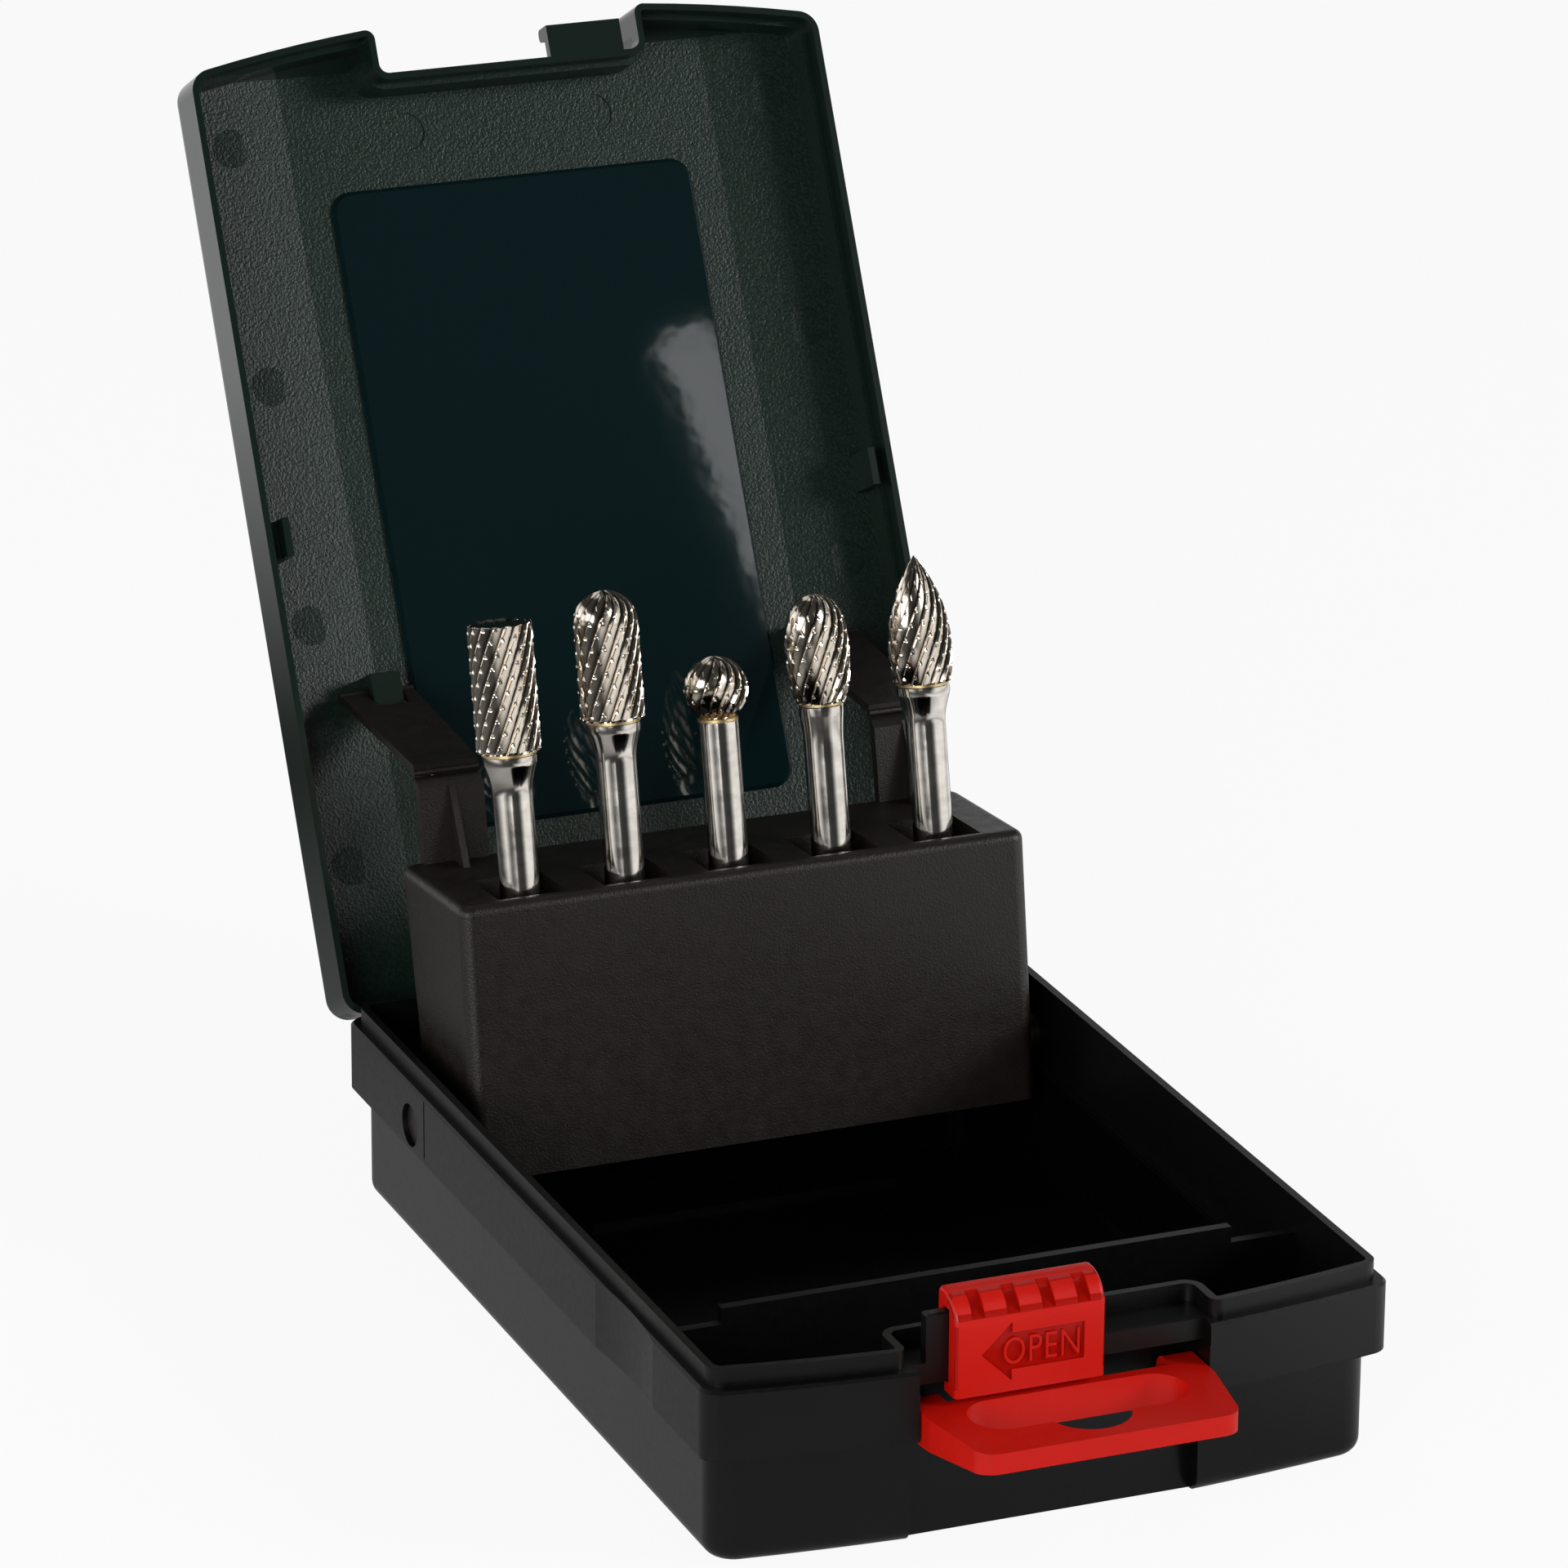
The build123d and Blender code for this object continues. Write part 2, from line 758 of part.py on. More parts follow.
def make_slider():
    """Sliding latch: a cap over the guide wall with a front plate, a foot, a rear leg and a nose."""
    guide_front = bay_front + slider_gap
    guide_back = bay_front - guide_thick - slider_gap
    top = tray_height + slider_high
    under_cap = tray_height + guide_height + slider_top_gap
    shelf_low = tray_height - shelf_thick
    outer = [
        (-slider_front, tray_height - slider_low),
        (-slider_front, top),
        (-slider_rear, top),
        (-slider_rear, tray_height + slider_leg_low),
        (-guide_back, tray_height + slider_leg_low),
        (-guide_back, under_cap),
        (-guide_front, under_cap),
        (-guide_front, shelf_low - foot_high_gap),
        (-guide_front + foot_reach, shelf_low - foot_high_gap),
        (-guide_front + foot_reach, tray_height - slider_low),
    ]
    cap = side_profile(outer, slider_left, slider_right)
    top_edges = cap.edges().filter_by(Axis.X).group_by(Axis.Z)[-1].sort_by(Axis.Y)
    cap = fillet(top_edges[0], slider_nose_round)
    top_edges = cap.edges().filter_by(Axis.X).group_by(Axis.Z)[-1].sort_by(Axis.Y)
    cap = fillet(top_edges[-1], slider_back_round)
    front_uprights = cap.edges().filter_by(Axis.Z).group_by(Axis.Y)[0]
    cap = fillet(front_uprights, slider_side_round)

    nose_section = [
        (slider_right - 1, tray_height + nose_low),
        (slider_right + nose_reach, tray_height + nose_low),
        (slider_right + nose_reach, tray_height + nose_high - nose_cam),
        (slider_right + nose_reach - nose_cam, tray_height + nose_high),
        (slider_right - 1, tray_height + nose_high),
    ]
    cap += front_profile(nose_section, -guide_back, -slider_rear)

    reach = (slider_nose_round - grip_depth + grip_radius) / math.sqrt(2)
    grip_y = slider_nose_round - slider_front - reach
    grip_z = top - slider_nose_round + reach
    for index in range(grip_count):
        x = slider_left + grip_first + index * grip_pitch
        cap -= cross_rod(grip_radius, x - grip_width / 2, x + grip_width / 2, grip_y, grip_z)

    middle = tray_height + arrow_middle
    tip = slider_left + arrow_tip
    neck = tip + arrow_head
    tail = tip + arrow_length
    arrow = [
        (tip, middle),
        (neck, middle + arrow_half),
        (neck, middle + arrow_shaft_half),
        (tail, middle + arrow_shaft_half),
        (tail, middle - arrow_shaft_half),
        (neck, middle - arrow_shaft_half),
        (neck, middle - arrow_half),
    ]
    return cap - front_profile(arrow, -slider_front - 1, -slider_front + arrow_depth)


def make_hanger():
    """Hanger folded out: a plate with a hanging slot, a rear spine and two knuckles with pins."""
    top = tray_height - hanger_top_drop
    slot_rear = hanger_rear + spine_thick
    slot_front = slot_rear + hang_slot_width
    bend_y = -slot_rear - hanger_corner
    plan = Polygon(
        (-hanger_rear_half, -hanger_rear),
        (hanger_rear_half, -hanger_rear),
        (hanger_rear_half, bend_y),
        (hanger_front_half, -hanger_front),
        (-hanger_front_half, -hanger_front),
        (-hanger_rear_half, bend_y),
        align=None,
    )
    plan = fillet([v for v in plan.vertices() if v.Y < bend_y - touch], hanger_corner)
    plan = fillet([v for v in plan.vertices() if abs(v.Y - bend_y) < touch], hanger_corner)
    wedge = [
        (-hanger_rear + touch, top),
        (-hanger_rear + touch, top - spine_height),
        (-slot_rear, top - spine_height),
        (-hanger_front - touch, top - hanger_thick),
        (-hanger_front - touch, top),
    ]
    plate = prism(plan, top - spine_height - touch, top) & side_profile(wedge, -case_half, case_half)
    slot = RectangleRounded(2 * hang_slot_half, hang_slot_width, hang_slot_round)
    slot = Pos(0, -(slot_rear + slot_front) / 2) * slot
    slot += Pos(0, hang_bump_radius - slot_front - hang_bump_reach) * Circle(hang_bump_radius)
    plate -= prism(slot, top - spine_height - 1, top + 1)

    arm_inner = hanger_rear_half - knuckle_length
    arm = cross_rod(knuckle_radius, arm_inner, hanger_rear_half, hanger_axis_y, hanger_axis_z)
    arm += slab(
        arm_inner,
        hanger_rear_half,
        -hanger_rear - touch,
        hanger_axis_y,
        hanger_axis_z - knuckle_radius,
        hanger_axis_z + knuckle_radius,
    )
    pin = cross_rod(
        hanger_pin_radius,
        arm_inner + knuckle_length / 2,
        pocket_half + hanger_pin_reach - hanger_pin_clearance,
        hanger_axis_y,
        hanger_axis_z,
    )
    for side in both_sides(arm + pin):
        plate += side
    return plate


def cylinder_shape(length):
    """Straight cylinder."""
    return lambda s: head_radius


def ball_nose_shape(length):
    """Straight cylinder with a ball nose."""

    def radius(s):
        past = s - (length - head_radius)
        return head_radius if past <= 0 else math.sqrt(max(0, head_radius**2 - past**2))

    return radius


def ball_shape(length):
    """Ball, cut off where the shank meets it."""
    centre = length - head_radius
    return lambda s: math.sqrt(max(0, head_radius**2 - (s - centre) ** 2))


def oval_shape(length):
    """Full egg shape, widest half way up."""
    widest = oval_widest * length

    def radius(s):
        span = length - widest if s > widest else oval_foot_stretch * widest
        share = abs(s - widest) / span
        return head_radius * max(0, 1 - share**oval_fullness) ** (1 / oval_fullness)

    return radius


def tree_shape(length):
    """Pointed tree: a long full ogive above a short rounded heel."""
    widest = tree_widest * length

    def radius(s):
        if s <= widest:
            return head_radius * (tree_heel + (1 - tree_heel) * math.sin(math.pi / 2 * s / widest))
        return head_radius * (1 - ((s - widest) / (length - widest)) ** tree_fullness)

    return radius


burrs = [
    {
        "name": "cylinder_burr",
        "length": 19.0,
        "exposed": 19.8,
        "shape": cylinder_shape,
        "flare": True,
        "sections": 7,
    },
    {
        "name": "ball_nose_burr",
        "length": 19.0,
        "exposed": 22.6,
        "shape": ball_nose_shape,
        "flare": True,
        "sections": 9,
    },
    {
        "name": "ball_burr",
        "length": 9.1,
        "exposed": 20.8,
        "shape": ball_shape,
        "flare": False,
        "sections": 7,
    },
    {
        "name": "oval_burr",
        "length": 16.0,
        "exposed": 21.1,
        "shape": oval_shape,
        "flare": True,
        "sections": 8,
    },
    {
        "name": "tree_burr",
        "length": 19.0,
        "exposed": 22.1,
        "shape": tree_shape,
        "flare": True,
        "sections": 8,
    },
]


def head_base_radius(burr):
    """Radius where the head meets its braze ring."""
    shape = burr["shape"](burr["length"])
    return min(collar_flare_radius, shape(0) - tooth_depth)


def make_shank(burr):
    """Steel shank from the socket seat up to the braze ring, with a flared collar on most burrs."""
    end = burr["exposed"] - braze_thick
    start = burr["exposed"] - shank_length
    neck = head_base_radius(burr)
    outline = [
        Line((0, end), (0, start)),
        Line((0, start), (shank_radius - shank_chamfer, start)),
        Line((shank_radius - shank_chamfer, start), (shank_radius, start + shank_chamfer)),
    ]
    if burr["flare"]:
        low = end - collar_flare_height
        high = end - collar_band_height
        waist = (shank_radius + neck) / 2 - collar_flare_sag
        outline += [
            Line((shank_radius, start + shank_chamfer), (shank_radius, low)),
            Line((shank_radius, low), (waist, (low + high) / 2)),
            Line((waist, (low + high) / 2), (neck, high)),
            Line((neck, high), (neck, end)),
            Line((neck, end), (0, end)),
        ]
    else:
        outline += [
            Line((shank_radius, start + shank_chamfer), (shank_radius, end)),
            Line((shank_radius, end), (0, end)),
        ]
    return revolve(Plane.XZ * make_face(outline), Axis.Z)


def make_braze(burr):
    """Thin ring of braze between shank and head."""
    radius = head_base_radius(burr) if burr["flare"] else shank_radius
    return prism(Circle(radius), burr["exposed"] - braze_thick, burr["exposed"])


def star(radius, turn, height):
    """Corners of a toothed section: ridges at the radius and roots below it, turned by an angle."""
    depth = min(tooth_depth, radius * tooth_depth_share)
    points = []
    for index in range(2 * tooth_count):
        reach = radius if index % 2 == 0 else radius - depth
        angle = math.radians(turn + 180 * (index + tooth_lean * (index % 2)) / tooth_count)
        points.append((reach * math.cos(angle), reach * math.sin(angle), height))
    return points


def flat_face(points):
    """Flat face with these corners."""
    return Face(Wire.make_polygon(points, close=True))


def make_head(burr):
    """Cutting head: toothed sections twisted about the axis, with flat triangles between them."""
    length = burr["length"]
    shape = burr["shape"](length)
    pointed = shape(length) < tip_radius
    count = burr["sections"]
    rings = []
    for index in range(count + 1):
        share = math.sin(math.pi / 2 * index / count) if pointed else index / count
        s = length * share
        rings.append(star(max(shape(s), tip_radius), tooth_twist_per_mm * s, burr["exposed"] + s))
    faces = [flat_face(rings[0]), flat_face(rings[-1])]
    for low, high in zip(rings, rings[1:]):
        for index in range(2 * tooth_count):
            after = (index + 1) % (2 * tooth_count)
            faces.append(flat_face([low[index], low[after], high[after]]))
            faces.append(flat_face([low[index], high[after], high[index]]))
    return Solid(Shell(faces))


def burr_place(index):
    """Frame of one burr: on its axis at the height of the block's top."""
    return block_place() * Pos(burr_places()[index], -burr_forward, block_top_at_burrs)


def write(name, shape):
    """Write one piece to its own file."""
    export_step(shape, "parts/" + name + ".step")


os.makedirs("parts", exist_ok=True)
write("base_tray", make_tray())
write("lid", make_lid())
write("burr_block", make_block(burrs))
strap_left, strap_right = both_sides(make_strap())
write("strap_left", strap_left)
write("strap_right", strap_right)
write("latch_slider", make_slider())
write("hanger", make_hanger())
for index, burr in enumerate(burrs):
    write(burr["name"] + "_shank", burr_place(index) * make_shank(burr))
    write(burr["name"] + "_braze", burr_place(index) * make_braze(burr))
    write(burr["name"] + "_head", burr_place(index) * make_head(burr))
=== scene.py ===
from collections import namedtuple

import bpy
import numpy as np
from bpy.props import FloatProperty, FloatVectorProperty, IntProperty, PointerProperty
from bpy.types import Operator, Panel, PropertyGroup
from mathutils import Matrix, Vector


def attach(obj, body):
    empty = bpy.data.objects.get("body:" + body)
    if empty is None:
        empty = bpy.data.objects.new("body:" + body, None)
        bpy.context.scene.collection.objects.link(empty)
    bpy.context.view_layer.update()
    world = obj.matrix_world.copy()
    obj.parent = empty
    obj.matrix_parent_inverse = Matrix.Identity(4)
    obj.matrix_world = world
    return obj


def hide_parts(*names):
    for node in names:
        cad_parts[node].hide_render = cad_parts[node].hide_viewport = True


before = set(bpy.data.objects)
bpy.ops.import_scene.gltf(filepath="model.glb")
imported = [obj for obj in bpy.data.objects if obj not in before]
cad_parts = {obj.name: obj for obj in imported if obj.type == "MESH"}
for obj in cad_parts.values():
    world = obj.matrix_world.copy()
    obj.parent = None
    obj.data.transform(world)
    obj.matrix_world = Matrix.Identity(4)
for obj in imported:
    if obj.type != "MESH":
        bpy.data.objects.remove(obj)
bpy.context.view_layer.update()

bl_info = {
    "name": "Burr case",
    "version": (1, 0, 0),
    "blender": (4, 5, 0),
    "location": "View3D > Sidebar > Burr case",
    "description": "Finishes for a hinged case that holds five carbide burrs",
    "category": "Object",
}

MM = 0.001

# Where the burrs and the lid stand in the shared frame, in mm and degrees
BURR_AXIS = np.array((0.0, 0.2079117, 0.9781476))
BURR_BACK = np.array((0.0, 0.9781476, -0.2079117))
BURR_RIGHT = np.array((1.0, 0.0, 0.0))
BLOCK_TOP_Y = 46.468
BLOCK_TOP_Z = 54.534
BLOCK_TILT = 12.0
LID_HINGE = (0.0, 71.9, 27.3)
LID_LEAN = -62.7

# Ends of the heads, in mm: the bevel at the foot, and the bevel and dish of a flat end
FOOT_INSET = 0.35
FOOT_RISE = 0.3
END_INSET = 0.12
END_RISE = 0.05
DISH_RIM = 0.9
DISH_EDGE = 0.35
DISH_MIDDLE = 0.45

# Oval and tree heads: shares of the length and radius, and the powers of their curves
OVAL_WIDEST = 0.48
OVAL_FOOT = 1.35
OVAL_FULLNESS = 2.4
TREE_WIDEST = 0.22
TREE_HEEL = 0.9
TREE_FULLNESS = 2.3
TREE_SPACING = 1.5

# Shanks, in mm
SHANK_RADIUS = 3.0
SHANK_LENGTH = 45.0
SHANK_BEVEL = 0.4
BRAZE_THICK = 0.4
FLARE_START = 5.6
FLARE_LEAD = 0.2
FLARE_RISE = 4.4
NECK_BEVEL = 0.12
PLAIN_BAND = 4.4
PLAIN_BEVEL = 0.1

# Cut of the heads: places in a tooth's phase, shares of its depth, and how it fades to a tip
RIDGE_END = 0.07
ROOT_PHASE = 0.8
NOTCH_HALF = 0.15
NOTCH_DEPTH = 0.45
SIDE_POWER = 0.8
FACE_CUT = 0.15

# Latch, in metres: the arrow's recess and the grips' scoop about its axis
RECESS_Y = (-0.0763, -0.0759)
RECESS_Z = (0.0232, 0.0324)
SCOOP_AXIS_Y = -0.0790125
SCOOP_AXIS_Z = 0.0391125
SCOOP_RADII = (0.0060, 0.00655)

# Raised word on the latch, in mm
WORD_LEFT = -9.3
WORD_WIDTH = 11.2
WORD_MIDDLE = 27.8
WORD_HEIGHT = 3.9
WORD_FACE = -76.01

# Stage, in metres and shares of full white
CAMERA_RIGHT = (0.92511, -0.37963, 0.00663)
CAMERA_UP = (0.12578, 0.32289, 0.93804)
TOWARD_CAMERA = (-0.382, -0.924, 0.0)
LAMP_AIM = (0.0, 0.02, 0.06)
FLOOR_EDGE = 12.0
FLOOR_GLOW = 0.92
MIRRORED_LOW = 0.04
MIRRORED_RANGE = 0.94
AMBIENT = 0.12


# Profiles of the heads


def cylinder_profile(length, radius):
    """Straight side with a small bevel at each end and a shallow dish in the end face."""
    s = (0.0, 0.0, FOOT_RISE, length - END_RISE, length, length - DISH_EDGE, length - DISH_MIDDLE)
    r = (0.0, radius - FOOT_INSET, radius, radius, radius - END_INSET, radius - DISH_RIM, 0.0)
    return np.array(r), np.array(s)


def ball_nose_profile(length, radius):
    """Straight side up to a half ball, whose place is (R cos a, R sin a) above its centre."""
    a = np.linspace(0.0, np.pi / 2, 40)
    r = np.concatenate(([0.0, radius - FOOT_INSET, radius], radius * np.cos(a)))
    s = np.concatenate(([0.0, 0.0, FOOT_RISE], length - radius + radius * np.sin(a)))
    return r, s


def ball_profile(length, radius):
    """Ball cut off at the shank: (R cos a, centre + R sin a) from the cut's angle up to the pole."""
    centre = length - radius
    a = np.linspace(-np.arcsin(centre / radius), np.pi / 2, 60)
    r = np.concatenate(([0.0], radius * np.cos(a)))
    s = np.concatenate(([0.0], centre + radius * np.sin(a)))
    return r, s


def oval_profile(length, radius):
    """Full egg: R(1 - t^2.4)^(1/2.4), where t runs from 1.35 below the widest ring to 1 at the tip."""
    widest = OVAL_WIDEST * length
    low = np.linspace(-1 / OVAL_FOOT, 0.0, 20)
    high = np.sin(np.linspace(0.0, np.pi / 2, 60)[1:])
    t = np.abs(np.concatenate((low, high)))
    r = radius * (1 - t**OVAL_FULLNESS) ** (1 / OVAL_FULLNESS)
    s = np.concatenate((widest + OVAL_FOOT * widest * low, widest + (length - widest) * high))
    return np.concatenate(([0.0], r)), np.concatenate(([0.0], s))


def tree_profile(length, radius):
    """Pointed tree: a short rounded heel, then R(1 - t^2.3) up to the point."""
    widest = TREE_WIDEST * length
    low = np.linspace(0.0, 1.0, 12)
    t = (1 - np.linspace(1.0, 0.0, 60) ** TREE_SPACING)[1:]
    heel = radius * (TREE_HEEL + (1 - TREE_HEEL) * np.sin(np.pi / 2 * low))
    point = radius * (1 - t**TREE_FULLNESS)
    r = np.concatenate(([0.0], heel, point))
    s = np.concatenate(([0.0], widest * low, widest + (length - widest) * t))
    return r, s


# x is the place across the block, foot the height of the head above it, and neck the radius that
# the shank flares to, or None for a plain shank
Burr = namedtuple("Burr", "name x foot length profile neck")
BURRS = (
    Burr("cylinder_burr", -32.8, 19.8, 19.0, cylinder_profile, 4.0),
    Burr("ball_nose_burr", -16.4, 22.6, 19.0, ball_nose_profile, 4.0),
    Burr("ball_burr", 0.0, 20.8, 9.1, ball_profile, None),
    Burr("oval_burr", 16.4, 21.1, 16.0, oval_profile, 3.3),
    Burr("tree_burr", 32.8, 22.1, 19.0, tree_profile, 4.0),
)


# Mesh helpers


def put_mesh(name, points, faces, body, node, material, smooth=True, crease=None):
    """Mesh object from arrays of points and faces, riding on a body and standing for a CAD node."""
    mesh = bpy.data.meshes.new(name)
    mesh.from_pydata(points.tolist(), [], faces)
    mesh.validate()
    mesh.polygons.foreach_set("use_smooth", np.full(len(mesh.polygons), smooth))
    if crease:
        mesh.set_sharp_from_angle(angle=np.radians(crease))
    mesh.materials.append(material)
    mesh.update()
    piece = bpy.data.objects.new(name, mesh)
    bpy.context.scene.collection.objects.link(piece)
    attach(piece, body)
    if node:
        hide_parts(*node)
    return piece


def turned_faces(rows, around):
    """Faces of a turned surface: a fan at each pole and four-cornered faces between the rings."""
    column = np.arange(around)
    after = (column + 1) % around
    foot = 0
    tip = 1 + rows * around
    first = 1 + column
    last = 1 + (rows - 1) * around
    fan_foot = np.stack((np.full(around, foot), 1 + after, first), axis=1)
    fan_tip = np.stack((np.full(around, tip), last + column, last + after), axis=1)
    ring = 1 + np.arange(rows - 1)[:, None] * around
    quads = np.stack(
        (ring + column, ring + after, ring + around + after, ring + around + column),
        axis=2,
    ).reshape(-1, 4)
    return fan_foot.tolist() + quads.tolist() + fan_tip.tolist()


def on_burr(x, radial, angle, height):
    """Points at a radius and an angle about a burr's axis and a height above the block, in metres."""
    origin = np.array((x, BLOCK_TOP_Y, BLOCK_TOP_Z))
    across = (radial * np.cos(angle))[..., None] * BURR_RIGHT
    back = (radial * np.sin(angle))[..., None] * BURR_BACK
    return MM * (origin + across + back + height[..., None] * BURR_AXIS)


def even_steps(r, s, count):
    """A profile sampled again at equal distances along its length."""
    length = np.concatenate(([0.0], np.cumsum(np.hypot(np.diff(r), np.diff(s)))))
    at = np.linspace(0.0, length[-1], count)
    return np.interp(at, length, r), np.interp(at, length, s)


# Material helpers


class Finish:
    """A node material being put together, with its Principled shader and Object coordinates."""

    def __init__(self, name):
        self.material = bpy.data.materials.new(name)
        self.material.use_nodes = True
        self.tree = self.material.node_tree
        self.shader = self.tree.nodes["Principled BSDF"]
        self.place = self.tree.nodes.new("ShaderNodeTexCoord").outputs["Object"]

    def join(self, value, socket):
        """Link a socket, or set a plain value."""
        if isinstance(value, bpy.types.NodeSocket):
            self.tree.links.new(value, socket)
        else:
            socket.default_value = value

    def set(self, **values):
        """Set the shader's own sockets, with underscores for the spaces in their names."""
        for name, value in values.items():
            self.join(value, self.shader.inputs[name.replace("_", " ")])

    def math(self, operation, first, second=0.0):
        """Result of a Math node."""
        node = self.tree.nodes.new("ShaderNodeMath")
        node.operation = operation
        self.join(first, node.inputs[0])
        self.join(second, node.inputs[1])
        return node.outputs[0]

    def product(self, *values):
        """Values multiplied together."""
        result = values[0]
        for value in values[1:]:
            result = self.math("MULTIPLY", result, value)
        return result

    def turned(self, turn=(0.0, 0.0, 0.0), shift=(0.0, 0.0, 0.0), scale=(1.0, 1.0, 1.0), place=None):
        """Coordinates scaled, turned and then shifted."""
        node = self.tree.nodes.new("ShaderNodeMapping")
        self.join(place or self.place, node.inputs["Vector"])
        node.inputs["Location"].default_value = shift
        node.inputs["Rotation"].default_value = turn
        node.inputs["Scale"].default_value = scale
        return node.outputs[0]

    def split(self, place):
        """X, Y and Z of a coordinate, as three sockets."""
        node = self.tree.nodes.new("ShaderNodeSeparateXYZ")
        self.join(place, node.inputs[0])
        return node.outputs[0], node.outputs[1], node.outputs[2]

    def noise(self, scale, detail=2.0, place=None, roughness=0.5):
        """Noise between 0 and 1, with its scale in turns per metre."""
        node = self.tree.nodes.new("ShaderNodeTexNoise")
        self.join(place or self.place, node.inputs["Vector"])
        node.inputs["Scale"].default_value = scale
        node.inputs["Detail"].default_value = detail
        node.inputs["Roughness"].default_value = roughness
        return node.outputs["Fac"]

    def spread(self, value, low, high, to_low, to_high):
        """A value carried from one range to another and kept inside it."""
        node = self.tree.nodes.new("ShaderNodeMapRange")
        self.join(value, node.inputs["Value"])
        for name, number in zip(("From Min", "From Max", "To Min", "To Max"), (low, high, to_low, to_high)):
            self.join(number, node.inputs[name])
        return node.outputs[0]

    def mix(self, share, first, second):
        """Two colours mixed by a share."""
        node = self.tree.nodes.new("ShaderNodeMix")
        node.data_type = "RGBA"
        self.join(share, node.inputs["Factor"])
        self.join(first, node.inputs[6])
        self.join(second, node.inputs[7])
        return node.outputs[2]

    def bump(self, height, depth, strength=1.0, normal=None):
        """Normal for a height from 0 to 1 that stands for a depth in metres."""
        node = self.tree.nodes.new("ShaderNodeBump")
        self.join(height, node.inputs["Height"])
        self.join(strength, node.inputs["Strength"])
        node.inputs["Distance"].default_value = depth
        if normal is not None:
            self.join(normal, node.inputs["Normal"])
        return node.outputs[0]

    def inside(self, value, low, high, soft):
        """1 where a value lies between two limits, with a soft edge of that width."""
        rise = self.spread(value, low - soft, low, 0.0, 1.0)
        fall = self.spread(value, high, high + soft, 1.0, 0.0)
        return self.math("MULTIPLY", rise, fall)


def rgba(colour):
    """Colour with full alpha."""
    return (colour[0], colour[1], colour[2], 1.0)


def shades(finish, colour, amount, scale):
    """The colour, a little lighter and darker in slow patches."""
    low = rgba([c * (1 - amount) for c in colour])
    high = rgba([c * (1 + amount) for c in colour])
    return finish.mix(finish.noise(scale, 3.0), low, high)


def dress(node, material):
    """Give a carried CAD node its material in every slot."""
    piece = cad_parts[node]
    for slot in piece.material_slots:
        slot.material = material


# Settings


class CaseSettings(PropertyGroup):
    """Colours and surface of the moulded plastic."""

    tray_colour: FloatVectorProperty(
        name="Tray colour",
        description="Plastic of the tray",
        subtype="COLOR",
        default=(0.0014, 0.0015, 0.0016),
    )
    lid_colour: FloatVectorProperty(
        name="Lid colour",
        description="Plastic of the lid",
        subtype="COLOR",
        default=(0.0055, 0.0140, 0.0100),
    )
    panel_colour: FloatVectorProperty(
        name="Panel colour",
        description="Smooth panel in the lid",
        subtype="COLOR",
        default=(0.0035, 0.0125, 0.0140),
    )
    block_colour: FloatVectorProperty(
        name="Block colour",
        description="Plastic of the burr block",
        subtype="COLOR",
        default=(0.0078, 0.0048, 0.0035),
    )
    red_colour: FloatVectorProperty(
        name="Latch colour",
        description="Plastic of the latch and hanger",
        subtype="COLOR",
        default=(0.64, 0.007, 0.002),
    )
    grain: FloatProperty(
        name="Grain", description="Depth of the spark-eroded grain", unit="LENGTH", default=0.00012
    )


class BurrSettings(PropertyGroup):
    """Shape and finish of the burrs."""

    radius: FloatProperty(name="Head radius", description="Largest radius of a head in mm", default=4.8)
    tooth_depth: FloatProperty(name="Tooth depth", description="Depth of the flutes in mm", default=0.50)
    teeth: IntProperty(name="Teeth", description="Flutes round a head", default=16)
    notches: IntProperty(name="Notches", description="Starts of the crossing cut", default=14)
    twist: FloatProperty(name="Twist", description="Turn of the flutes in degrees per mm", default=5.6)
    cross_twist: FloatProperty(
        name="Cross twist", description="Turn of the crossing cut in degrees per mm", default=6.9
    )
    steel_colour: FloatVectorProperty(
        name="Shank colour", description="Ground steel", subtype="COLOR", default=(0.80, 0.76, 0.70)
    )
    carbide_colour: FloatVectorProperty(
        name="Carbide colour", description="Cut carbide", subtype="COLOR", default=(0.76, 0.68, 0.58)
    )
    braze_colour: FloatVectorProperty(
        name="Braze colour", description="Brass-coloured joint", subtype="COLOR", default=(0.62, 0.47, 0.24)
    )


class StageSettings(PropertyGroup):
    """Camera, lamps and floor."""

    lens: FloatProperty(name="Lens", description="Focal length in mm on a 36 mm frame", default=185.42)
    eye: FloatVectorProperty(
        name="Camera place",
        description="Where the camera stands",
        subtype="TRANSLATION",
        default=(-0.41714, -0.98429, 0.47667),
    )
    floor: FloatProperty(name="Floor", description="Reflectance of the floor", default=0.90)


# Pieces


class BURRCASE_OT_tray(Operator):
    """Black moulded tray: semi-gloss walls, slightly wavy, with a duller band above a fine step."""

    bl_idname = "burrcase.tray"
    bl_label = "Tray"

    def execute(self, context):
        colours = context.scene.burrcase
        finish = Finish("tray_plastic_finish")
        height = finish.split(finish.place)[2]
        step = finish.inside(height, 0.01640, 0.01668, 0.00012)
        band = finish.spread(height, 0.0164, 0.0167, 0.0, 0.14)
        walls = finish.spread(finish.noise(900.0, 3.0), 0.3, 0.7, 0.22, 0.28)
        wavy = finish.bump(finish.noise(60.0, 2.0), 0.0002, 0.15)
        fine = finish.bump(finish.noise(3000.0, 1.0), 0.000006, 0.12, wavy)
        finish.set(
            Base_Color=shades(finish, colours.tray_colour, 0.2, 40.0),
            Roughness=finish.math("ADD", band, walls),
            Normal=finish.bump(step, -0.0002, 0.8, fine),
            Specular_IOR_Level=0.4,
        )
        dress("base_tray", finish.material)
        return {"FINISHED"}


